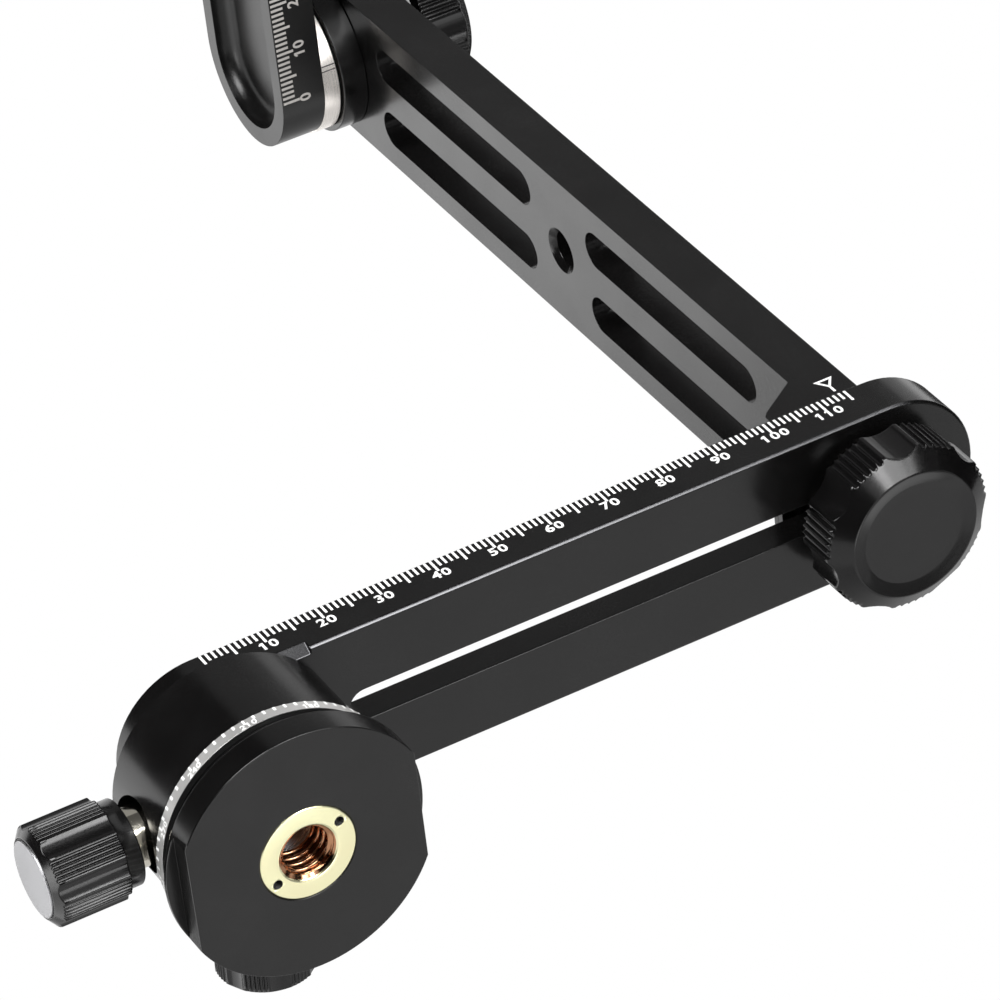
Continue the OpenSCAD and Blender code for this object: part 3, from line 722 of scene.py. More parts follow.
class Markings:
    """Thin painted marks, gathered into one mesh: bars, triangles and plain numbers.

    Attributes:
        HEIGHT: Height of the paint over the surface, in millimetres.
        DEPTH: Depth that a bar reaches into the surface, in millimetres.
        SPREAD: Share by which the digits of a number stand apart.
        WEIGHT: Growth of a digit's strokes, as a share of the type's size.
        ADVANCE: Step from digit to digit, as a share of the type's size.
        WELD: Distance under which two corners of the marks are one, in millimetres.
        SERIF: Corners of the short stroke on the digit 1, from its middle, as shares of that size.
    """

    HEIGHT = 0.012
    DEPTH = 0.04
    SPREAD = 1.16
    WEIGHT = 0.025
    ADVANCE = 0.58
    WELD = 0.0002
    SERIF = ((-0.07, 0.4), (-0.19, 0.29), (-0.19, 0.15), (-0.07, 0.22))

    def __init__(self, name: str) -> None:
        """Starts an empty set of marks.

        Args:
            name: Name of the piece.
        """
        self.name = name
        self.shape = bmesh.new()

    def outline(self, points: list[tuple[float, float]], place: Matrix) -> None:
        """Adds a flat mark with straight sides, as a thin closed plate.

        Args:
            points: Corners in the mark's plane, in millimetres.
            place: Carries the plane, with its +Z outwards, to the head's frame.
        """
        low, high = ([self.shape.verts.new(place @ Vector((x * MM, y * MM, z * MM)))
                      for x, y in points] for z in (-self.DEPTH, self.HEIGHT))
        self.shape.faces.new(high)
        self.shape.faces.new(low[::-1])
        for i in range(len(points)):
            j = (i + 1) % len(points)
            self.shape.faces.new((low[i], low[j], high[j], high[i]))

    def bar(self, x: float, y: float, width: float, length: float, place: Matrix) -> None:
        """Adds an upright bar whose top middle is at (x, y).

        Args:
            x: Middle of the bar.
            y: Top of the bar.
            width: Width of the bar.
            length: Length of the bar, down from its top.
            place: Carries the plane to the head's frame.
        """
        left, right = x - width / 2, x + width / 2
        self.outline([(left, y - length), (right, y - length), (right, y), (left, y)], place)

    def number(self, text: str, x: float, y: float, size: float, place: Matrix,
               wide: float) -> None:
        """Adds a plain number whose middle is at (x, y), with a short stroke on each digit 1.

        Args:
            text: The number.
            x: Middle of the number.
            y: Middle of its height.
            size: Size of the type, in millimetres.
            place: Carries the plane to the head's frame.
            wide: Share by which the digits are widened.
        """
        curve = bpy.data.curves.new("number", "FONT")
        curve.body = text
        curve.size = size * MM
        curve.align_x, curve.align_y = "CENTER", "CENTER"
        curve.space_character = self.SPREAD
        curve.offset = self.WEIGHT * size * MM
        curve.extrude = self.HEIGHT * MM
        curve.resolution_u = 4
        letters = bpy.data.objects.new("number", curve)
        bpy.context.scene.collection.objects.link(letters)
        ready = letters.evaluated_get(bpy.context.evaluated_depsgraph_get())
        mesh = bpy.data.meshes.new_from_object(ready)
        widened = Matrix.Translation((x * MM, y * MM, 0)) @ Matrix.Diagonal((wide, 1, 1, 1))
        mesh.transform(place @ widened)
        self.shape.from_mesh(mesh)
        bpy.data.objects.remove(letters)
        bpy.data.meshes.remove(mesh)
        for i, digit in enumerate(text):
            if digit == "1":
                middle = (i - (len(text) - 1) / 2) * self.ADVANCE
                self.outline([(x + wide * size * (middle + u), y + size * v)
                              for u, v in self.SERIF], place)

    def build(self, finish: Finish, body: Body) -> bpy.types.Object:
        """Makes the marks one piece.

        Args:
            finish: Their paint.
            body: The body that they move with.

        Returns:
            The piece.
        """
        bmesh.ops.remove_doubles(self.shape, verts=self.shape.verts, dist=self.WELD * MM)
        bmesh.ops.recalc_face_normals(self.shape, faces=self.shape.faces)
        mesh = bpy.data.meshes.new(self.name)
        self.shape.to_mesh(mesh)
        self.shape.free()
        return dress(new_piece(self.name, mesh), finish, body)


def mark_plane(across: Point | Vector, up: Point | Vector, outward: Point | Vector,
               place: Vector) -> Matrix:
    """Gives the plane that flat marks are laid out in.

    Args:
        across: Direction of the plane's x.
        up: Direction of its y.
        outward: Direction that it faces.
        place: Its origin, in metres.

    Returns:
        The matrix that carries the plane to the head's frame.
    """
    return Matrix.Translation(place) @ Matrix((across, up, outward)).transposed().to_4x4()


def round_plane(radius: float, height: float, angle: float) -> Matrix:
    """Gives the plane that touches a cylinder round the pan axis.

    Args:
        radius: Radius of the cylinder, in millimetres.
        height: Height of the plane's origin, in millimetres.
        angle: Angle of the plane's origin round the axis, in degrees.

    Returns:
        The plane's matrix: x along the cylinder, y up and z outwards.
    """
    turn = math.radians(angle)
    outward = Vector((math.cos(turn), math.sin(turn), 0))
    along = Vector((-math.sin(turn), math.cos(turn), 0))
    place = outward * radius * MM + Vector((0, 0, height * MM))
    return mark_plane(along, Vector((0, 0, 1)), outward, place)


@dataclass
class Ruler:
    """A millimetre scale: a tick at each millimetre, and a number at every tenth.

    Attributes:
        name: Name of the piece.
        start: Place of its zero along the plane's x.
        length: Number of its last tick.
        top: Upper end of the ticks.
        width: Width of a tick.
        short: Length of a tick.
        long: Length of every fifth tick.
        label_y: Middle of the numbers' height.
        label_size: Size of the numbers.
        label_wide: Share by which the digits are widened.
        first_label: The first number.
    """

    name: str
    start: float
    length: int
    top: float
    width: float
    short: float
    long: float
    label_y: float
    label_size: float
    label_wide: float
    first_label: int

    def build(self, place: Matrix, paint: Finish, body: Body) -> bpy.types.Object:
        """Builds the scale.

        Args:
            place: Carries its plane to the head's frame.
            paint: Its paint.
            body: The body that it moves with.

        Returns:
            The marks.
        """
        marks = Markings(self.name)
        for step in range(self.length + 1):
            along = self.start + step
            length = self.long if step % 5 == 0 else self.short
            marks.bar(along, self.top, self.width, length, place)
            if step % 10 == 0 and step >= self.first_label:
                marks.number(str(step), along, self.label_y, self.label_size, place,
                             self.label_wide)
        return marks.build(paint, body)


@dataclass
class TripodBase:
    """The base that stays on the tripod, with its threaded bush and its degree ring.

    Attributes:
        bush_flange_r: Radius of the bush's flange.
        bush_flange: Thickness of the flange.
        bush_body_r: Radius of the bush's body.
        bush_top: Height of the bush.
        thread_r: Outer radius of the thread.
        thread_pitch: Pitch of the thread.
        thread_depth: Depth of the thread.
        mouth: Depth of the cone at the bore's mouth.
        spanner_r: Radius of a spanner hole.
        spanner_pitch_r: Distance of the spanner holes from the axis.
        spanner_turn: Angle of the first spanner hole.
        spanner_depth: Depth of the spanner holes.
        ring_r: Radius of the degree ring.
        ring_high: Height of the ring's top edge.
        tick_step: Degrees between two ticks.
        label_step: Degrees between two numbers.
        tick_top: Upper end of the ticks, from the ring's top edge.
        tick: Width and length of a tick.
        label_tick: Width and length of a tick at a number.
        label_at: Middle of a number, from the ring's top edge.
        label_size: Size of the numbers.
        label_wide: Share by which the digits are widened.
        zero_turn: Angle of the ring's zero.
    """

    bush_flange_r: float = 8.1
    bush_flange: float = 1.5
    bush_body_r: float = 6.5
    bush_top: float = 7.5
    thread_r: float = 4.7625
    thread_pitch: float = 1.5875
    thread_depth: float = 0.82
    mouth: float = 0.75
    spanner_r: float = 0.75
    spanner_pitch_r: float = 6.55
    spanner_turn: float = -31.0
    spanner_depth: float = 1.0
    ring_r: float = 20.1
    ring_high: float = 10.3
    tick_step: int = 5
    label_step: int = 30
    tick_top: float = -0.05
    tick: tuple[float, float] = (0.44, 0.8)
    label_tick: tuple[float, float] = (0.36, 1.0)
    label_at: tuple[float, float] = (0.4, -1.5)
    label_size: float = 1.4
    label_wide: float = 1.2
    zero_turn: float = 111.0

    def bush_rings(self) -> np.ndarray:
        """Gives the threaded bush as rings of points.

        The bore's radius at angle t and height z is the thread's, a triangle wave of
        (z / pitch - t / turn) with its tips cut flat, or the mouth's cone where that is wider.

        Returns:
            Points by ring, column and coordinate, in millimetres.
        """
        columns = np.linspace(0, TURN, 144, endpoint=False)
        mouth_r = self.thread_r + 0.25
        first, steepness, cut = 0.02, 2.4, 0.7
        heights = np.concatenate([np.linspace(first, 1.2, 14),
                                  np.linspace(1.3, self.bush_top - 0.15, 62)])
        phase = np.mod(heights[:, None] / self.thread_pitch - columns / TURN, 1)
        wave = np.clip(steepness * np.abs(2 * phase - 1) - cut, 0, 1)
        thread = self.thread_r - self.thread_depth * wave
        slope = (mouth_r - self.thread_r + self.thread_depth) / self.mouth
        cone = mouth_r - (heights - first) * slope
        bore = -soft_least(-thread, -(cone[:, None] + 0 * thread), 0.03)
        body_r, flange_r, flange = self.bush_body_r, self.bush_flange_r, self.bush_flange
        outside = np.array([(body_r, self.bush_top - 0.2), (body_r, flange + 0.1),
                            (body_r + 0.1, flange), (flange_r - 0.15, flange),
                            (flange_r, flange - 0.15), (flange_r, 0.3), (flange_r - 0.1, 0.1),
                            (flange_r - 0.3, 0.0), (mouth_r + 0.7, 0.0), (mouth_r + 0.12, 0.0)])
        radii = np.concatenate([outside[:, :1] + 0 * columns, bore])
        levels = np.concatenate([outside[:, 1], heights])
        rings = np.stack([radii * np.cos(columns), radii * np.sin(columns),
                          levels[:, None] + 0 * radii], -1)
        top = rings[:1].copy()
        top[..., 2] = self.bush_top
        end = rings[-1:].copy()
        end[..., 2] = self.bush_top
        return np.concatenate([top, rings, end])

    def bush(self) -> bpy.types.Object:
        """Builds the brass bush, with its thread and its two spanner holes.

        Returns:
            The bush.
        """
        rings = self.bush_rings()
        count, columns = rings.shape[:2]
        here = np.arange(columns)
        after = (here + 1) % columns
        start = (np.arange(count) * columns)[:, None]
        beyond = (np.mod(np.arange(count) + 1, count) * columns)[:, None]
        faces = np.stack([start + here, start + after, beyond + after, beyond + here], -1)
        mesh = bpy.data.meshes.new("threaded_bush")
        mesh.from_pydata((rings.reshape(-1, 3) * MM).tolist(), [], faces.reshape(-1, 4).tolist())
        shape = bmesh.new()
        shape.from_mesh(mesh)
        bmesh.ops.recalc_face_normals(shape, faces=shape.faces)
        shape.to_mesh(mesh)
        shape.free()
        piece = new_piece("threaded_bush", mesh)
        for side in (0, 180):
            self.drill(piece, self.spanner_turn + side)
        even_shading(piece)
        dress(piece, BRASS.turned(Axis.Z, (0.0, 0.0, 0.0)), Body.BASE, "tripod_bush")
        for finish in (THREAD_BRASS, HOLE_SHADE_PAINT):
            piece.data.materials.append(material_of(finish))
        self.mark_faces(piece.data)
        return piece

    def mark_faces(self, mesh: bpy.types.Mesh) -> None:
        """Gives the bore a darker, redder brass, and paints the spanner holes near black as painted
        shade.

        Args:
            mesh: The bush's mesh.
        """
        count = len(mesh.polygons)
        centres, kinds = np.empty(count * 3), np.zeros(count, np.int32)
        mesh.polygons.foreach_get("center", centres)
        x, y, z = centres.reshape(-1, 3).T / MM
        kinds[np.hypot(x, y) < self.thread_r + 0.02] = 1
        for side in (0, 180):
            turn = math.radians(self.spanner_turn + side)
            off = np.hypot(x - self.spanner_pitch_r * math.cos(turn),
                           y - self.spanner_pitch_r * math.sin(turn))
            # Painted shade inside the spanner holes.
            kinds[(off < self.spanner_r + 0.1) & (z > 0.01)] = 2
        mesh.polygons.foreach_set("material_index", kinds)

    def drill(self, piece: bpy.types.Object, angle: float) -> None:
        """Cuts a spanner hole into the bush's flange.

        Args:
            piece: The bush.
            angle: Angle of the hole round the pan axis, in degrees.
        """
        turn = math.radians(angle)
        place = (self.spanner_pitch_r * math.cos(turn), self.spanner_pitch_r * math.sin(turn))
        columns = np.linspace(0, TURN, 32, endpoint=False)
        radius, depth = self.spanner_r, self.spanner_depth
        profile = np.array([(0, -0.5), (radius + 0.06, -0.5), (radius + 0.06, 0), (radius, 0.08),
                            (radius, depth), (0, depth + 0.3)])
        rings = np.stack([place[0] + profile[:, :1] * np.cos(columns),
                          place[1] + profile[:, :1] * np.sin(columns),
                          profile[:, 1:] + 0 * columns], -1)
        cutter = new_piece("cutter", surface_mesh("cutter", rings))
        cut = piece.modifiers.new("hole", "BOOLEAN")
        cut.operation, cut.object, cut.solver = "DIFFERENCE", cutter, "EXACT"
        bpy.context.view_layer.update()
        ready = piece.evaluated_get(bpy.context.evaluated_depsgraph_get())
        mesh = bpy.data.meshes.new_from_object(ready)
        piece.modifiers.clear()
        piece.data = mesh
        bpy.data.objects.remove(cutter)

    def degrees(self) -> bpy.types.Object:
        """Builds the degree ring's white ticks and numbers.

        Returns:
            The marks.
        """
        marks = Markings("degree_ring_marks")
        for angle in range(0, 360, self.tick_step):
            place = round_plane(self.ring_r, self.ring_high, self.zero_turn - angle)
            labelled = angle % self.label_step == 0
            marks.bar(0.0, self.tick_top, *(self.label_tick if labelled else self.tick), place)
            if labelled:
                marks.number(str(angle), *self.label_at, self.label_size, place, self.label_wide)
        return marks.build(WHITE_PAINT, Body.BASE)

    def build(self) -> None:
        """Builds and dresses the base's pieces."""
        machined("base_plate", BLACK, Body.BASE, 0.25)
        self.bush()
        finish = RING_SILVER.turned(Axis.Z, (0.0, 0.0, 0.0))
        ring = machined("pan_scale_ring", finish, Body.BASE, 0.12)
        # Painted shade: the silver ring's downward faces are painted near black.
        mark_edge(ring, RING_SHADE, Vector((0, 0, -1)))
        self.degrees()
        for node in ("pan_spindle", "click_wheel", "wave_washer", "spindle_nut"):
            plain(node, STEEL.turned(Axis.Z, (0.0, 0.0, 0.0)))
        plain("thrust_washer", BRONZE)
        plain("spindle_screws", STEEL)


@dataclass
class PanStage:
    """The housing on its bearing, and the rail with its millimetre scale.

    Attributes:
        rail_side_y: Place of the rail's front side.
        ruler: The rail's scale, laid out from the pan axis and the frame's floor.
        housing_r: Radius of the housing.
        housing_low: Height of the housing's lower edge.
        index_turn: Angle of the index line.
        index_top: Upper end of the line, from the housing's lower edge.
        index_line: Width and length of the line.
    """

    rail_side_y: float = -14.5
    ruler: Ruler = field(default_factory=lambda: Ruler(
        "rail_scale_marks", start=1.63, length=115, top=35.04, width=0.42, short=1.9, long=2.95,
        label_y=31.2, label_size=2.6, label_wide=1.12, first_label=10))
    housing_r: float = 19.2
    housing_low: float = 10.6
    index_turn: float = 51.0
    index_top: float = 2.6
    index_line: tuple[float, float] = (0.4, 2.3)

    def scale(self) -> bpy.types.Object:
        """Builds the white scale on the rail's front side.

        Returns:
            The marks.
        """
        place = mark_plane((1, 0, 0), (0, 0, 1), (0, -1, 0), Vector((0, self.rail_side_y, 0)) * MM)
        return self.ruler.build(place, WHITE_PAINT, Body.PAN_STAGE)

    def index(self) -> bpy.types.Object:
        """Builds the white index line on the housing, over the degree ring.

        Returns:
            The mark.
        """
        marks = Markings("pan_index_mark")
        place = round_plane(self.housing_r, self.housing_low, self.index_turn)
        marks.bar(0.0, self.index_top, *self.index_line, place)
        return marks.build(WHITE_PAINT, Body.PAN_STAGE)

    def build(self) -> None:
        """Builds and dresses the stage's pieces."""
        machined("pan_housing", BLACK, Body.PAN_STAGE, 0.25)
        rail = machined("lower_rail", BLACK, Body.PAN_STAGE, 0.16)
        # Painted highlight: the rail's downward front chamfer gets the brighter edge finish.
        mark_edge(rail, EDGE_HIGHLIGHT, Vector((0, -1, -1)))
        machined("rail_screws", SCREW, Body.PAN_STAGE, 0.06)
        machined("click_guide", NICKEL, Body.PAN_STAGE, 0.1)
        plain("pan_bush", BRONZE)
        self.scale()
        self.index()


def small_knob(name: str, collar: float, bore_r: float, bore: float) -> FlutedKnob:
    """Gives a small knob, whose face holds a silver cap.

    Args:
        name: Name of the piece.
        collar: Length of its collar.
        bore_r: Radius of its bore.
        bore: Depth of its bore.

    Returns:
        The knob.
    """
    return FlutedKnob(name, radius=8.2, grip=11.1, bevel=1.2, face_r=6.65, collar_r=7.0,
                      collar=collar, bore_r=bore_r, bore=bore, dish_r=6.22, dish=0.5,
                      dish_edge=0.02, turn=12.0, edge=0.25, crest=0.02)


def big_knob(name: str, bore_r: float, bore: float) -> FlutedKnob:
    """Gives a large dished knob.

    Args:
        name: Name of the piece.
        bore_r: Radius of its bore.
        bore: Depth of its bore.

    Returns:
        The knob.
    """
    return FlutedKnob(name, radius=14.8, grip=7.2, bevel=2.6, face_r=11.25, collar_r=11.5,
                      collar=2.5, bore_r=bore_r, bore=bore, dish_r=8.9, dish=0.5, dish_edge=2.2)


@dataclass
class PanLock:
    """The knob, sleeve and screw that lock the pan stage, out along the head's rear.

    Attributes:
        control_z: Height of the lock's axis.
        knob_reach: Distance of the knob's inner end from the pan axis.
        knob: The knob.
    """

    control_z: float = CONTROL_Z
    knob_reach: float = 21.2
    knob: FlutedKnob = field(default_factory=lambda: small_knob("pan_lock_grip", 2.8, 3.02, 9.0))

    def build(self) -> None:
        """Builds and dresses the lock's pieces."""
        place = Facing.AGAINST_X.matrix((-self.knob_reach, 0, self.control_z))
        centre = (0.0, 0.0, self.control_z)
        self.knob.build(place, KNOB_BLACK, Body.PAN_LOCK_CONTROL, "pan_lock_knob")
        for node, finish, edge in (("pan_lock_cap", CAP_SILVER, 0.15),
                                   ("pan_lock_sleeve", CREAM_NICKEL, 0.15),
                                   ("pan_lock_screw", NICKEL, 0.1)):
            machined(node, finish.turned(Axis.X, centre), Body.PAN_LOCK_CONTROL, edge)
        plain("brake_shoe", BRONZE)


@dataclass
class ClickStop:
    """The knob that winds the click-stop plunger in, out along the head's side.

    Attributes:
        control_z: Height of the control's axis.
        knob_reach: Distance of the knob's inner end from the pan axis.
        knob: The knob.
    """

    control_z: float = CONTROL_Z
    knob_reach: float = 20.3
    knob: FlutedKnob = field(default_factory=lambda: small_knob("click_grip", 1.4, 3.95, 4.7))

    def build(self) -> None:
        """Builds and dresses the control's pieces."""
        outwards = Matrix.Translation((0, 0, self.knob_reach * MM))
        place = Facing.CLICK.matrix((0, 0, self.control_z)) @ outwards
        self.knob.build(place, KNOB_BLACK, Body.CLICK_CONTROL, "click_knob")
        machined("click_knob_cap", CAP_SILVER, Body.CLICK_CONTROL, 0.15)
        plain("click_plunger", STEEL)


@dataclass
class Upright:
    """The upright that slides along the rail, and the boss of the tilt axis.

    Attributes:
        side_y: Place of the upright's front side.
        pointer_x: Place of the pointer's tip.
        pointer_z: Height of the pointer's tip.
        pointer_half: Half the width of its triangle.
        pointer_rise: Height of its triangle.
        pointer_line: Width of its lines.
        pointer_foot: Upper end and length of the line under its tip.
    """

    side_y: float = -14.5
    pointer_x: float = 115.6
    pointer_z: float = 37.2
    pointer_half: float = 1.7
    pointer_rise: float = 2.6
    pointer_line: float = 0.42
    pointer_foot: tuple[float, float] = (0.3, 1.6)

    def pointer(self) -> bpy.types.Object:
        """Builds the open triangle that reads the rail's scale.

        Its inner corners are the outer ones, drawn towards a point 0.62 of its height up.

        Returns:
            The mark.
        """
        marks = Markings("pointer_mark")
        origin = Vector((self.pointer_x, self.side_y, self.pointer_z)) * MM
        place = mark_plane((1, 0, 0), (0, 0, 1), (0, -1, 0), origin)
        half, rise = self.pointer_half, self.pointer_rise
        corners = [(0.0, 0.0), (half, rise), (-half, rise)]
        middle, share = 0.62 * rise, 1 - self.pointer_line / 0.95
        inner = [(x * share, middle + (y - middle) * share) for x, y in corners]
        for i in range(3):
            j = (i + 1) % 3
            marks.outline([corners[i], corners[j], inner[j], inner[i]], place)
        top, length = self.pointer_foot
        marks.bar(0.0, top, self.pointer_line, length, place)
        return marks.build(WHITE_PAINT, Body.UPRIGHT)

    def build(self) -> None:
        """Builds and dresses the upright's pieces."""
        for node, edge in (("upright_arm", 0.2), ("tilt_boss", 0.2), ("slide_key", 0.1)):
            machined(node, BLACK, Body.UPRIGHT, edge)
        plain("tilt_bush", BRONZE)
        plain("key_screws", SCREW)
        self.pointer()


@dataclass
class RailClamp:
    """The knob and screw that clamp the upright on the rail.

    Attributes:
        x: Place of the clamp's axis along the rail.
        rail_low: Height of the rail's underside.
        washer: Thickness of the washer.
        knob: The knob.
    """

    x: float = 115.05
    rail_low: float = 26.8
    washer: float = 1.5
    knob: FlutedKnob = field(default_factory=lambda: big_knob("clamp_grip", 2.52, 8.0))

    def build(self) -> None:
        """Builds and dresses the clamp's pieces."""
        low = self.rail_low - self.washer
        downwards = Matrix.Rotation(math.pi, 4, "X")
        place = Matrix.Translation(Vector((self.x, 0, low)) * MM) @ downwards
        self.knob.build(place, KNOB_BLACK, Body.RAIL_CLAMP_CONTROL, "clamp_knob")
        finish = NICKEL.turned(Axis.Z, (self.x, 0.0, 0.0))
        machined("clamp_washer", finish, Body.RAIL_CLAMP_PAD, 0.15)
        plain("clamp_screw", STEEL)


@dataclass
class TiltHead:
    """The camera plate, with the ring and the spindle that turn with it.

    Attributes:
        tilt_z: Height of the tilt axis.
        plate_x: Place of the plate's outer face.
        plate_low: Height of the plate's lower side.
        ruler: The plate's scale, laid out from the tilt axis and the plate's outer face.
        ring_x: Place of the ring's outer edge.
        ring_t: Width of the ring.
        ring_r: Radius of the ring.
        line_turn: Angle of the lines across the ring.
        line_shift: Distance of each line from their middle.
        line_width: Width of a line.
        line_gap: Distance of its ends from the ring's edges.
    """

    tilt_z: float = TILT_Z
    plate_x: float = 94.015
    plate_low: float = 187.1
    ruler: Ruler = field(default_factory=lambda: Ruler(
        "plate_scale_marks", start=1.3, length=110, top=-0.25, width=0.5, short=2.3, long=3.2,
        label_y=-4.7, label_size=2.9, label_wide=1.05, first_label=0))
    ring_x: float = 102.415
    ring_t: float = 3.5
    ring_r: float = 13.5
    line_turn: float = 252.0
    line_shift: float = 0.45
    line_width: float = 0.2
    line_gap: float = 0.15

    def scale(self) -> bpy.types.Object:
        """Builds the millimetre scale on the plate's lower side, which runs out along the plate.

        Returns:
            The marks.
        """
        origin = Vector((self.plate_x, 0, self.plate_low)) * MM
        place = mark_plane((0, -1, 0), (-1, 0, 0), (0, 0, -1), origin)
        return self.ruler.build(place, GREY_PAINT, Body.TILT_HEAD)

    def line(self) -> bpy.types.Object:
        """Builds two dark lines across the silver ring: painted shade that stands for the walls of
        an engraved index line.

        Returns:
            The mark.
        """
        marks = Markings("tilt_ring_line")
        turn = math.radians(self.line_turn)
        outward = Vector((0, math.cos(turn), math.sin(turn)))
        along = Vector((0, -math.sin(turn), math.cos(turn)))
        origin = outward * self.ring_r * MM + Vector((self.ring_x * MM, 0, self.tilt_z * MM))
        place = mark_plane(along, Vector((-1, 0, 0)), outward, origin)
        length = self.ring_t - 2 * self.line_gap
        for shift in (-self.line_shift, self.line_shift):
            marks.bar(shift, -self.line_gap, self.line_width, length, place)
        return marks.build(GROOVE_SHADE_PAINT, Body.TILT_HEAD)

    def build(self) -> None:
        """Builds and dresses the head's pieces."""
        centre = (0.0, 0.0, self.tilt_z)
        machined("camera_plate", PLATE_BLACK, Body.TILT_HEAD, 0.2)
        self.scale()
        self.line()
        machined("tilt_scale_ring", WARM_SILVER.turned(Axis.X, centre), Body.TILT_HEAD, 0.15)
        plain("ring_screws", STEEL)
        plain("tilt_spindle", STEEL.turned(Axis.X, centre))
        plain("tilt_washer", NYLON)


@dataclass
class TiltLock:
    """The knob that clamps the tilt spindle on the upright's far side.

    Attributes:
        tilt_z: Height of the tilt axis.
        arm_x: Place of the upright's far side.
        washer: Thickness of the washer.
        knob: The knob.
    """

    tilt_z: float = TILT_Z
    arm_x: float = 119.185
    washer: float = 2.4
    knob: FlutedKnob = field(default_factory=lambda: big_knob("tilt_lock_grip", 4.05, 7.3))

    def build(self) -> None:
        """Builds and dresses the lock's pieces."""
        place = Facing.ALONG_X.matrix((self.arm_x + self.washer, 0, self.tilt_z))
        self.knob.build(place, KNOB_BLACK, Body.TILT_LOCK_CONTROL, "tilt_lock_knob")
        centre = (0.0, 0.0, self.tilt_z)
        machined("tilt_lock_washer", NICKEL.turned(Axis.X, centre), Body.TILT_LOCK_PAD, 0.15)


@dataclass
class CameraFixing:
    """The camera screw, captive in the plate's slot, and its washer.

    Attributes:
        tilt_z: Height of the screw's axis, the tilt axis too.
        y: Place of the screw's axis along the plate.
    """

    tilt_z: float = TILT_Z
    y: float = -76.0

    def build(self) -> None:
        """Builds and dresses the screw and its washer."""
        centre = (0.0, self.y, self.tilt_z)
        machined("camera_screw", NICKEL.turned(Axis.X, centre), Body.CAMERA_FIXING, 0.1)
        plain("camera_washer", NYLON)


@dataclass
class Lamp:
    """An area lamp that points at the head.

    Attributes:
        name: Name of the lamp.
        place: Its place, in millimetres.
        size: Length of its sides, in millimetres.
        power: Its power in watts.
        mirrored: Whether glossy surfaces show it, or else matt ones.
        depth: Length of its other sides, in millimetres, or zero for a square.
    """

    name: str
    place: Point
    size: float
    power: float
    mirrored: bool = False
    depth: float = 0.0

    def build(self, target: Vector) -> None:
        """Builds the lamp, turned to a target in metres."""
        data = bpy.data.lights.new(self.name, "AREA")
        data.size = self.size * MM
        if self.depth:
            data.shape = "RECTANGLE"
            data.size_y = self.depth * MM
        data.energy = self.power
        lamp = bpy.data.objects.new(self.name, data)
        lamp.location = Vector(self.place) * MM
        lamp.rotation_mode = "QUATERNION"
        lamp.rotation_quaternion = (target - lamp.location).to_track_quat("-Z", "Y")
        lamp.visible_camera = False
        lamp.visible_glossy = self.mirrored
        lamp.visible_diffuse = not self.mirrored
        bpy.context.scene.collection.objects.link(lamp)


@dataclass
class Card:
    """A black, grey or bright card, bent round the head as part of a ball, for glossy surfaces.

    Attributes:
        name: Name of the card.
        headings: First and last heading, from +X towards +Y, in degrees.
        rises: Lowest and highest rise, in degrees.
        tone: Brightness, with 1 for the world's white.
        radius: Radius of the ball, in millimetres.
        centre: Centre of the ball, in millimetres.
    """

    name: str
    headings: tuple[float, float]
    rises: tuple[float, float]
    tone: float = 0.0
    radius: float = 520.0
    centre: Point = (60.0, -5.0, 60.0)

    def build(self) -> None:
        """Builds the card, which neither the camera nor matt surfaces show."""
        heading, rise = np.meshgrid(np.radians(np.linspace(*self.headings, 25)),
                                    np.radians(np.linspace(*self.rises, 13)))
        ball = np.stack([np.cos(rise) * np.cos(heading), np.cos(rise) * np.sin(heading),
                         np.sin(rise)], -1)
        points = (np.array(self.centre) + self.radius * ball).reshape(-1, 3) * MM
        rows, columns = heading.shape
        start = (np.arange(rows - 1)[:, None] * columns + np.arange(columns - 1)).ravel()
        faces = np.stack([start, start + 1, start + columns + 1, start + columns], -1)
        mesh = bpy.data.meshes.new(self.name)
        mesh.from_pydata(points.tolist(), [], faces.tolist())
        card = new_piece(self.name, mesh)
        mesh.materials.append(card_paint(self.tone))
        for kind in ("camera", "diffuse", "transmission", "shadow", "volume_scatter"):
            setattr(card, "visible_" + kind, False)


@functools.cache
def card_paint(tone: float) -> bpy.types.Material:
    """Makes the material of the cards of one tone, once.

    Args:
        tone: Brightness, with 1 for the world's white.

    Returns:
        The material, which looks the same from both sides.
    """
    graph = Graph(f"card_{round(100 * tone)}")
    light = graph.add("Emission")
    light.inputs["Strength"].default_value = tone
    graph.join(light.outputs[0], graph.output.inputs["Surface"])
    return graph.material


def direct_rays(tree: bpy.types.NodeTree) -> bpy.types.NodeSocket:
    """Gives 1 for rays from the camera and for mirrored or refracted rays, and 0 for the rest.

    Args:
        tree: The node tree to add to.

    Returns:
        The socket with that value.
    """
    path = tree.nodes.new("ShaderNodeLightPath")
    value = path.outputs["Is Camera Ray"]
    for name in ("Is Glossy Ray", "Is Transmission Ray"):
        node = tree.nodes.new("ShaderNodeMath")
        node.operation = "MAXIMUM"
        tree.links.new(value, node.inputs[0])
        tree.links.new(path.outputs[name], node.inputs[1])
        value = node.outputs[0]
    return value


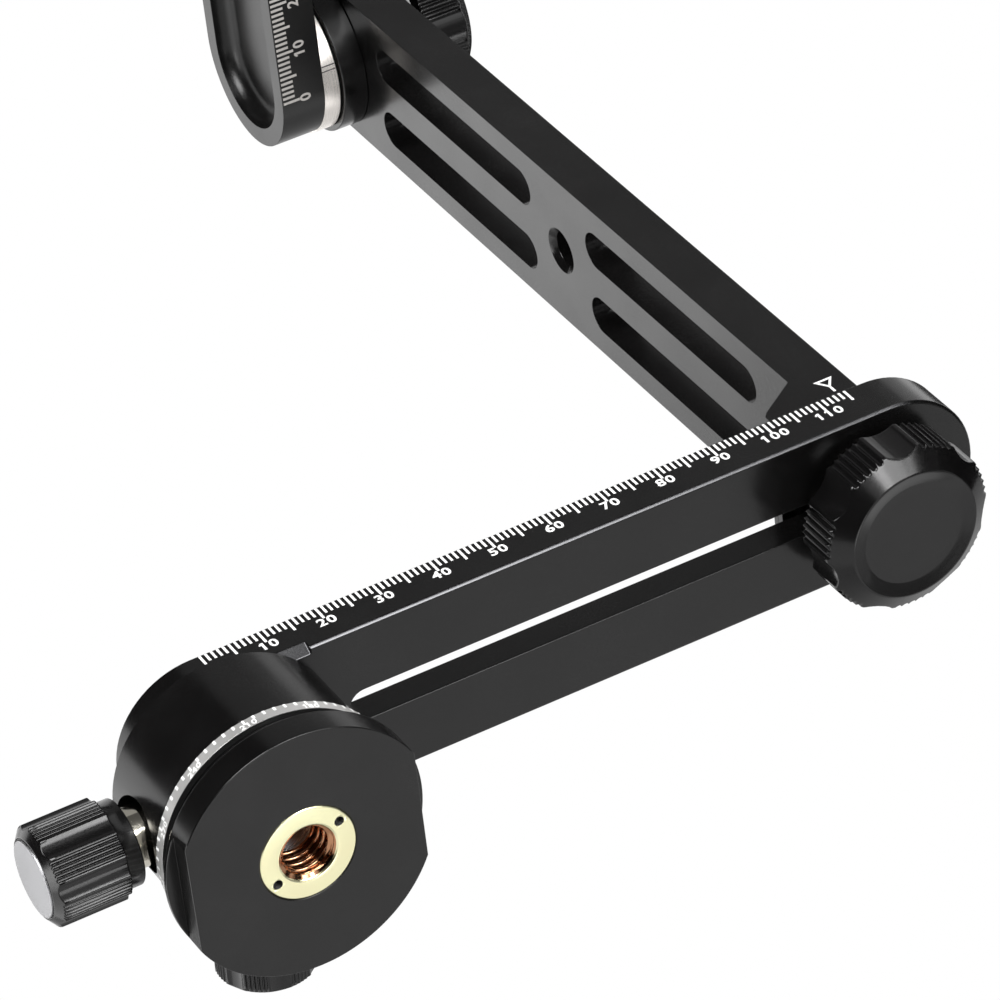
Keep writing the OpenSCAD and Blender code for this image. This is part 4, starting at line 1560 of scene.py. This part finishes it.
@dataclass
class Studio:
    """Camera, world, floor, lamps and cards.

    Attributes:
        camera_at: Place of the camera, in millimetres.
        azimuth: Heading of the view, from +Y towards +X, in degrees.
        elevation: Rise of the view, in degrees.
        roll: Turn of the camera about its view, in degrees.
        focal: Focal length, in pixels.
        centre_x: Column that the view's axis meets.
        centre_y: Row that the view's axis meets.
        side: Side of the picture, in pixels.
        floor_z: Height of the floor, in millimetres.
        floor_half: Half the length of its sides, in millimetres.
        floor_fade: Distances from the middle between which it fades, in millimetres.
        floor_colour: Linear colour of the lit floor.
        floor_tone: Brightness of the mirrored floor, with 1 for the world's white.
        ambient: Strength of the world's light on matt surfaces.
        lamps: The lamps.
        cards: The cards that glossy surfaces show.
    """

    camera_at: Point = (-273.62, -565.00, -659.02)
    azimuth: float = 31.1062
    elevation: float = 47.4164
    roll: float = -46.2549
    focal: float = 6123.06
    centre_x: float = 507.345
    centre_y: float = 505.616
    side: float = 1000.0
    floor_z: float = -420.0
    floor_half: float = 4000.0
    floor_fade: tuple[float, float] = (600.0, 1150.0)
    floor_colour: Colour = (0.93, 0.93, 0.93)
    floor_tone: float = 0.9
    ambient: float = 0.55
    lamps: tuple[Lamp, ...] = (
        Lamp("front_lamp", (-900, -1100, 900), 900, 30.0),
        Lamp("side_lamp", (1200, -500, 600), 700, 12.0),
        Lamp("back_lamp", (300, 1200, 900), 900, 12.0),
        Lamp("soft_lamp", (-580, 330, 760), 800, 1.8, mirrored=True),
        Lamp("low_lamp", (260, -255, -372), 380, 1.1, mirrored=True, depth=130),
        Lamp("edge_lamp", (190, -505, -345), 260, 1.6, mirrored=True, depth=240),
        Lamp("ring_lamp", (360, -430, -300), 200, 0.5, mirrored=True, depth=260),
        Lamp("spot_lamp", (235, -533, -217), 160, 2.0, mirrored=True),
    )
    cards: tuple[Card, ...] = (
        Card("upper_card", (181, 268), (-16, 78)),
        Card("front_card", (268, 323), (28, 78), 0.25),
        Card("post_card", (324, 334), (28, 62), 0.16),
        Card("front_low_card", (268, 302), (-36, 28), 0.07),
        Card("lower_card", (176, 258), (-52, -14)),
        Card("under_card", (150, 252), (-78, -50), radius=470),
        Card("side_card", (316, 382), (-34, 8)),
        Card("back_card", (22.5, 125), (-38, 35), 0.55),
        Card("middle_card", (334.5, 356), (28, 62), 0.75),
        Card("side_low_card", (326, 354), (-62, -34.5)),
        Card("end_card", (358, 373), (33, 42.5), 1.4),
        Card("right_low_card", (374, 406), (36, 42.5)),
        Card("right_card", (358, 406), (43, 62)),
        Card("left_card", (122, 175), (-14, 21), 2.0),
        Card("rim_card", (121, 133), (30, 48)),
        Card("key_card", (275, 292), (-66, -44), 14.0),
        Card("dish_card", (-5, 40), (-80, -39), 0.25),
        Card("nadir_card", (40, 66), (-84, -60), 0.25),
        Card("knob_card", (76, 102), (-84, -64), 5.0, radius=440),
        Card("cap_card", (162, 184), (-12, 4), 6.0, radius=500),
        Card("bright_card", (46, 70), (-34, -12), 1.4, radius=505),
        Card("pocket_card", (229, 262), (-36, -2), 13.0, radius=500),
        Card("boss_card", (302, 316), (-50, -20), 0.3),
    )

    def camera(self) -> None:
        """Builds the camera at the photograph's viewing angle."""
        azimuth, elevation = math.radians(self.azimuth), math.radians(self.elevation)
        roll = math.radians(self.roll)
        forward = Vector((math.sin(azimuth) * math.cos(elevation),
                          math.cos(azimuth) * math.cos(elevation), math.sin(elevation)))
        level = forward.cross(Vector((0, 0, 1))).normalized()
        rise = level.cross(forward)
        right = level * math.cos(roll) + rise * math.sin(roll)
        up = rise * math.cos(roll) - level * math.sin(roll)
        data = bpy.data.cameras.new("camera")
        data.sensor_width = 36.0
        data.lens = data.sensor_width * self.focal / self.side
        data.shift_x = (self.side / 2 - self.centre_x) / self.side
        data.shift_y = (self.centre_y - self.side / 2) / self.side
        data.clip_start, data.clip_end = 0.01, 100.0
        camera = bpy.data.objects.new("camera", data)
        axes = Matrix((right, up, -forward)).transposed().to_4x4()
        camera.matrix_world = Matrix.Translation(Vector(self.camera_at) * MM) @ axes
        bpy.context.scene.collection.objects.link(camera)
        bpy.context.scene.camera = camera

    def world(self) -> None:
        """Builds the world: white where it is seen or mirrored, and softer as light."""
        world = bpy.data.worlds.new("studio")
        world.use_nodes = True
        tree = world.node_tree
        tree.nodes.clear()
        output = tree.nodes.new("ShaderNodeOutputWorld")
        mix = tree.nodes.new("ShaderNodeMixShader")
        tree.links.new(direct_rays(tree), mix.inputs[0])
        for socket, strength in ((1, self.ambient), (2, 1.0)):
            light = tree.nodes.new("ShaderNodeBackground")
            light.inputs["Color"].default_value = (1, 1, 1, 1)
            light.inputs["Strength"].default_value = strength
            tree.links.new(light.outputs[0], mix.inputs[socket])
        tree.links.new(mix.outputs[0], output.inputs["Surface"])
        bpy.context.scene.world = world

    def floor(self) -> None:
        """Builds a pale floor, open from below so that the camera looks up through it.

        Far from the middle it gives way to the white behind it.
        """
        half = self.floor_half * MM
        corners = ((-half, -half), (half, -half), (half, half), (-half, half))
        mesh = bpy.data.meshes.new("floor")
        mesh.from_pydata([(x, y, self.floor_z * MM) for x, y in corners], [], [(0, 1, 2, 3)])
        floor = new_piece("floor", mesh)
        graph = Graph("floor_paper")
        graph.surface.inputs["Base Color"].default_value = (*self.floor_colour, 1)
        graph.surface.inputs["Roughness"].default_value = 0.8
        white = graph.add("Emission")
        white.inputs["Strength"].default_value = self.floor_tone
        path = graph.add("LightPath").outputs
        mirrored = graph.maths("MAXIMUM", path["Is Glossy Ray"], path["Is Transmission Ray"])
        paper, sheet = graph.add("MixShader"), graph.add("MixShader")
        graph.join(mirrored, paper.inputs[0])
        graph.join(graph.surface.outputs[0], paper.inputs[1])
        graph.join(white.outputs[0], paper.inputs[2])
        reach = graph.add("VectorMath", operation="LENGTH")
        graph.join(graph.add("TexCoord").outputs["Object"], reach.inputs[0])
        fade = graph.add("MapRange", interpolation_type="SMOOTHSTEP")
        for name, distance in zip(("From Min", "From Max"), self.floor_fade):
            fade.inputs[name].default_value = distance * MM
        graph.join(reach.outputs["Value"], fade.inputs["Value"])
        far = graph.maths("MULTIPLY", fade.outputs["Result"], path["Is Camera Ray"])
        behind = graph.add("NewGeometry").outputs["Backfacing"]
        graph.join(graph.maths("MAXIMUM", behind, far), sheet.inputs[0])
        graph.join(paper.outputs[0], sheet.inputs[1])
        graph.join(graph.add("BsdfTransparent").outputs[0], sheet.inputs[2])
        graph.join(sheet.outputs[0], graph.output.inputs["Surface"])
        mesh.materials.append(graph.material)

    def build(self) -> None:
        """Builds the whole studio."""
        self.camera()
        self.world()
        self.floor()
        low, high = CAD_BOX
        for lamp in self.lamps:
            lamp.build((low + high) / 2)
        for card in self.cards:
            card.build()
        bpy.context.scene.view_settings.view_transform = "Standard"


def main() -> None:
    """Builds the studio and the head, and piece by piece."""
    logging.basicConfig(level=logging.INFO, format="%(name)s: %(message)s")
    assemblies = (Studio(), TripodBase(), PanStage(), PanLock(), ClickStop(), Upright(),
                  RailClamp(), TiltHead(), TiltLock(), CameraFixing())
    for assembly in assemblies:
        LOG.info("building %s", type(assembly).__name__)
        assembly.build()
    bpy.context.view_layer.update()


if __name__ == "__main__":
    main()
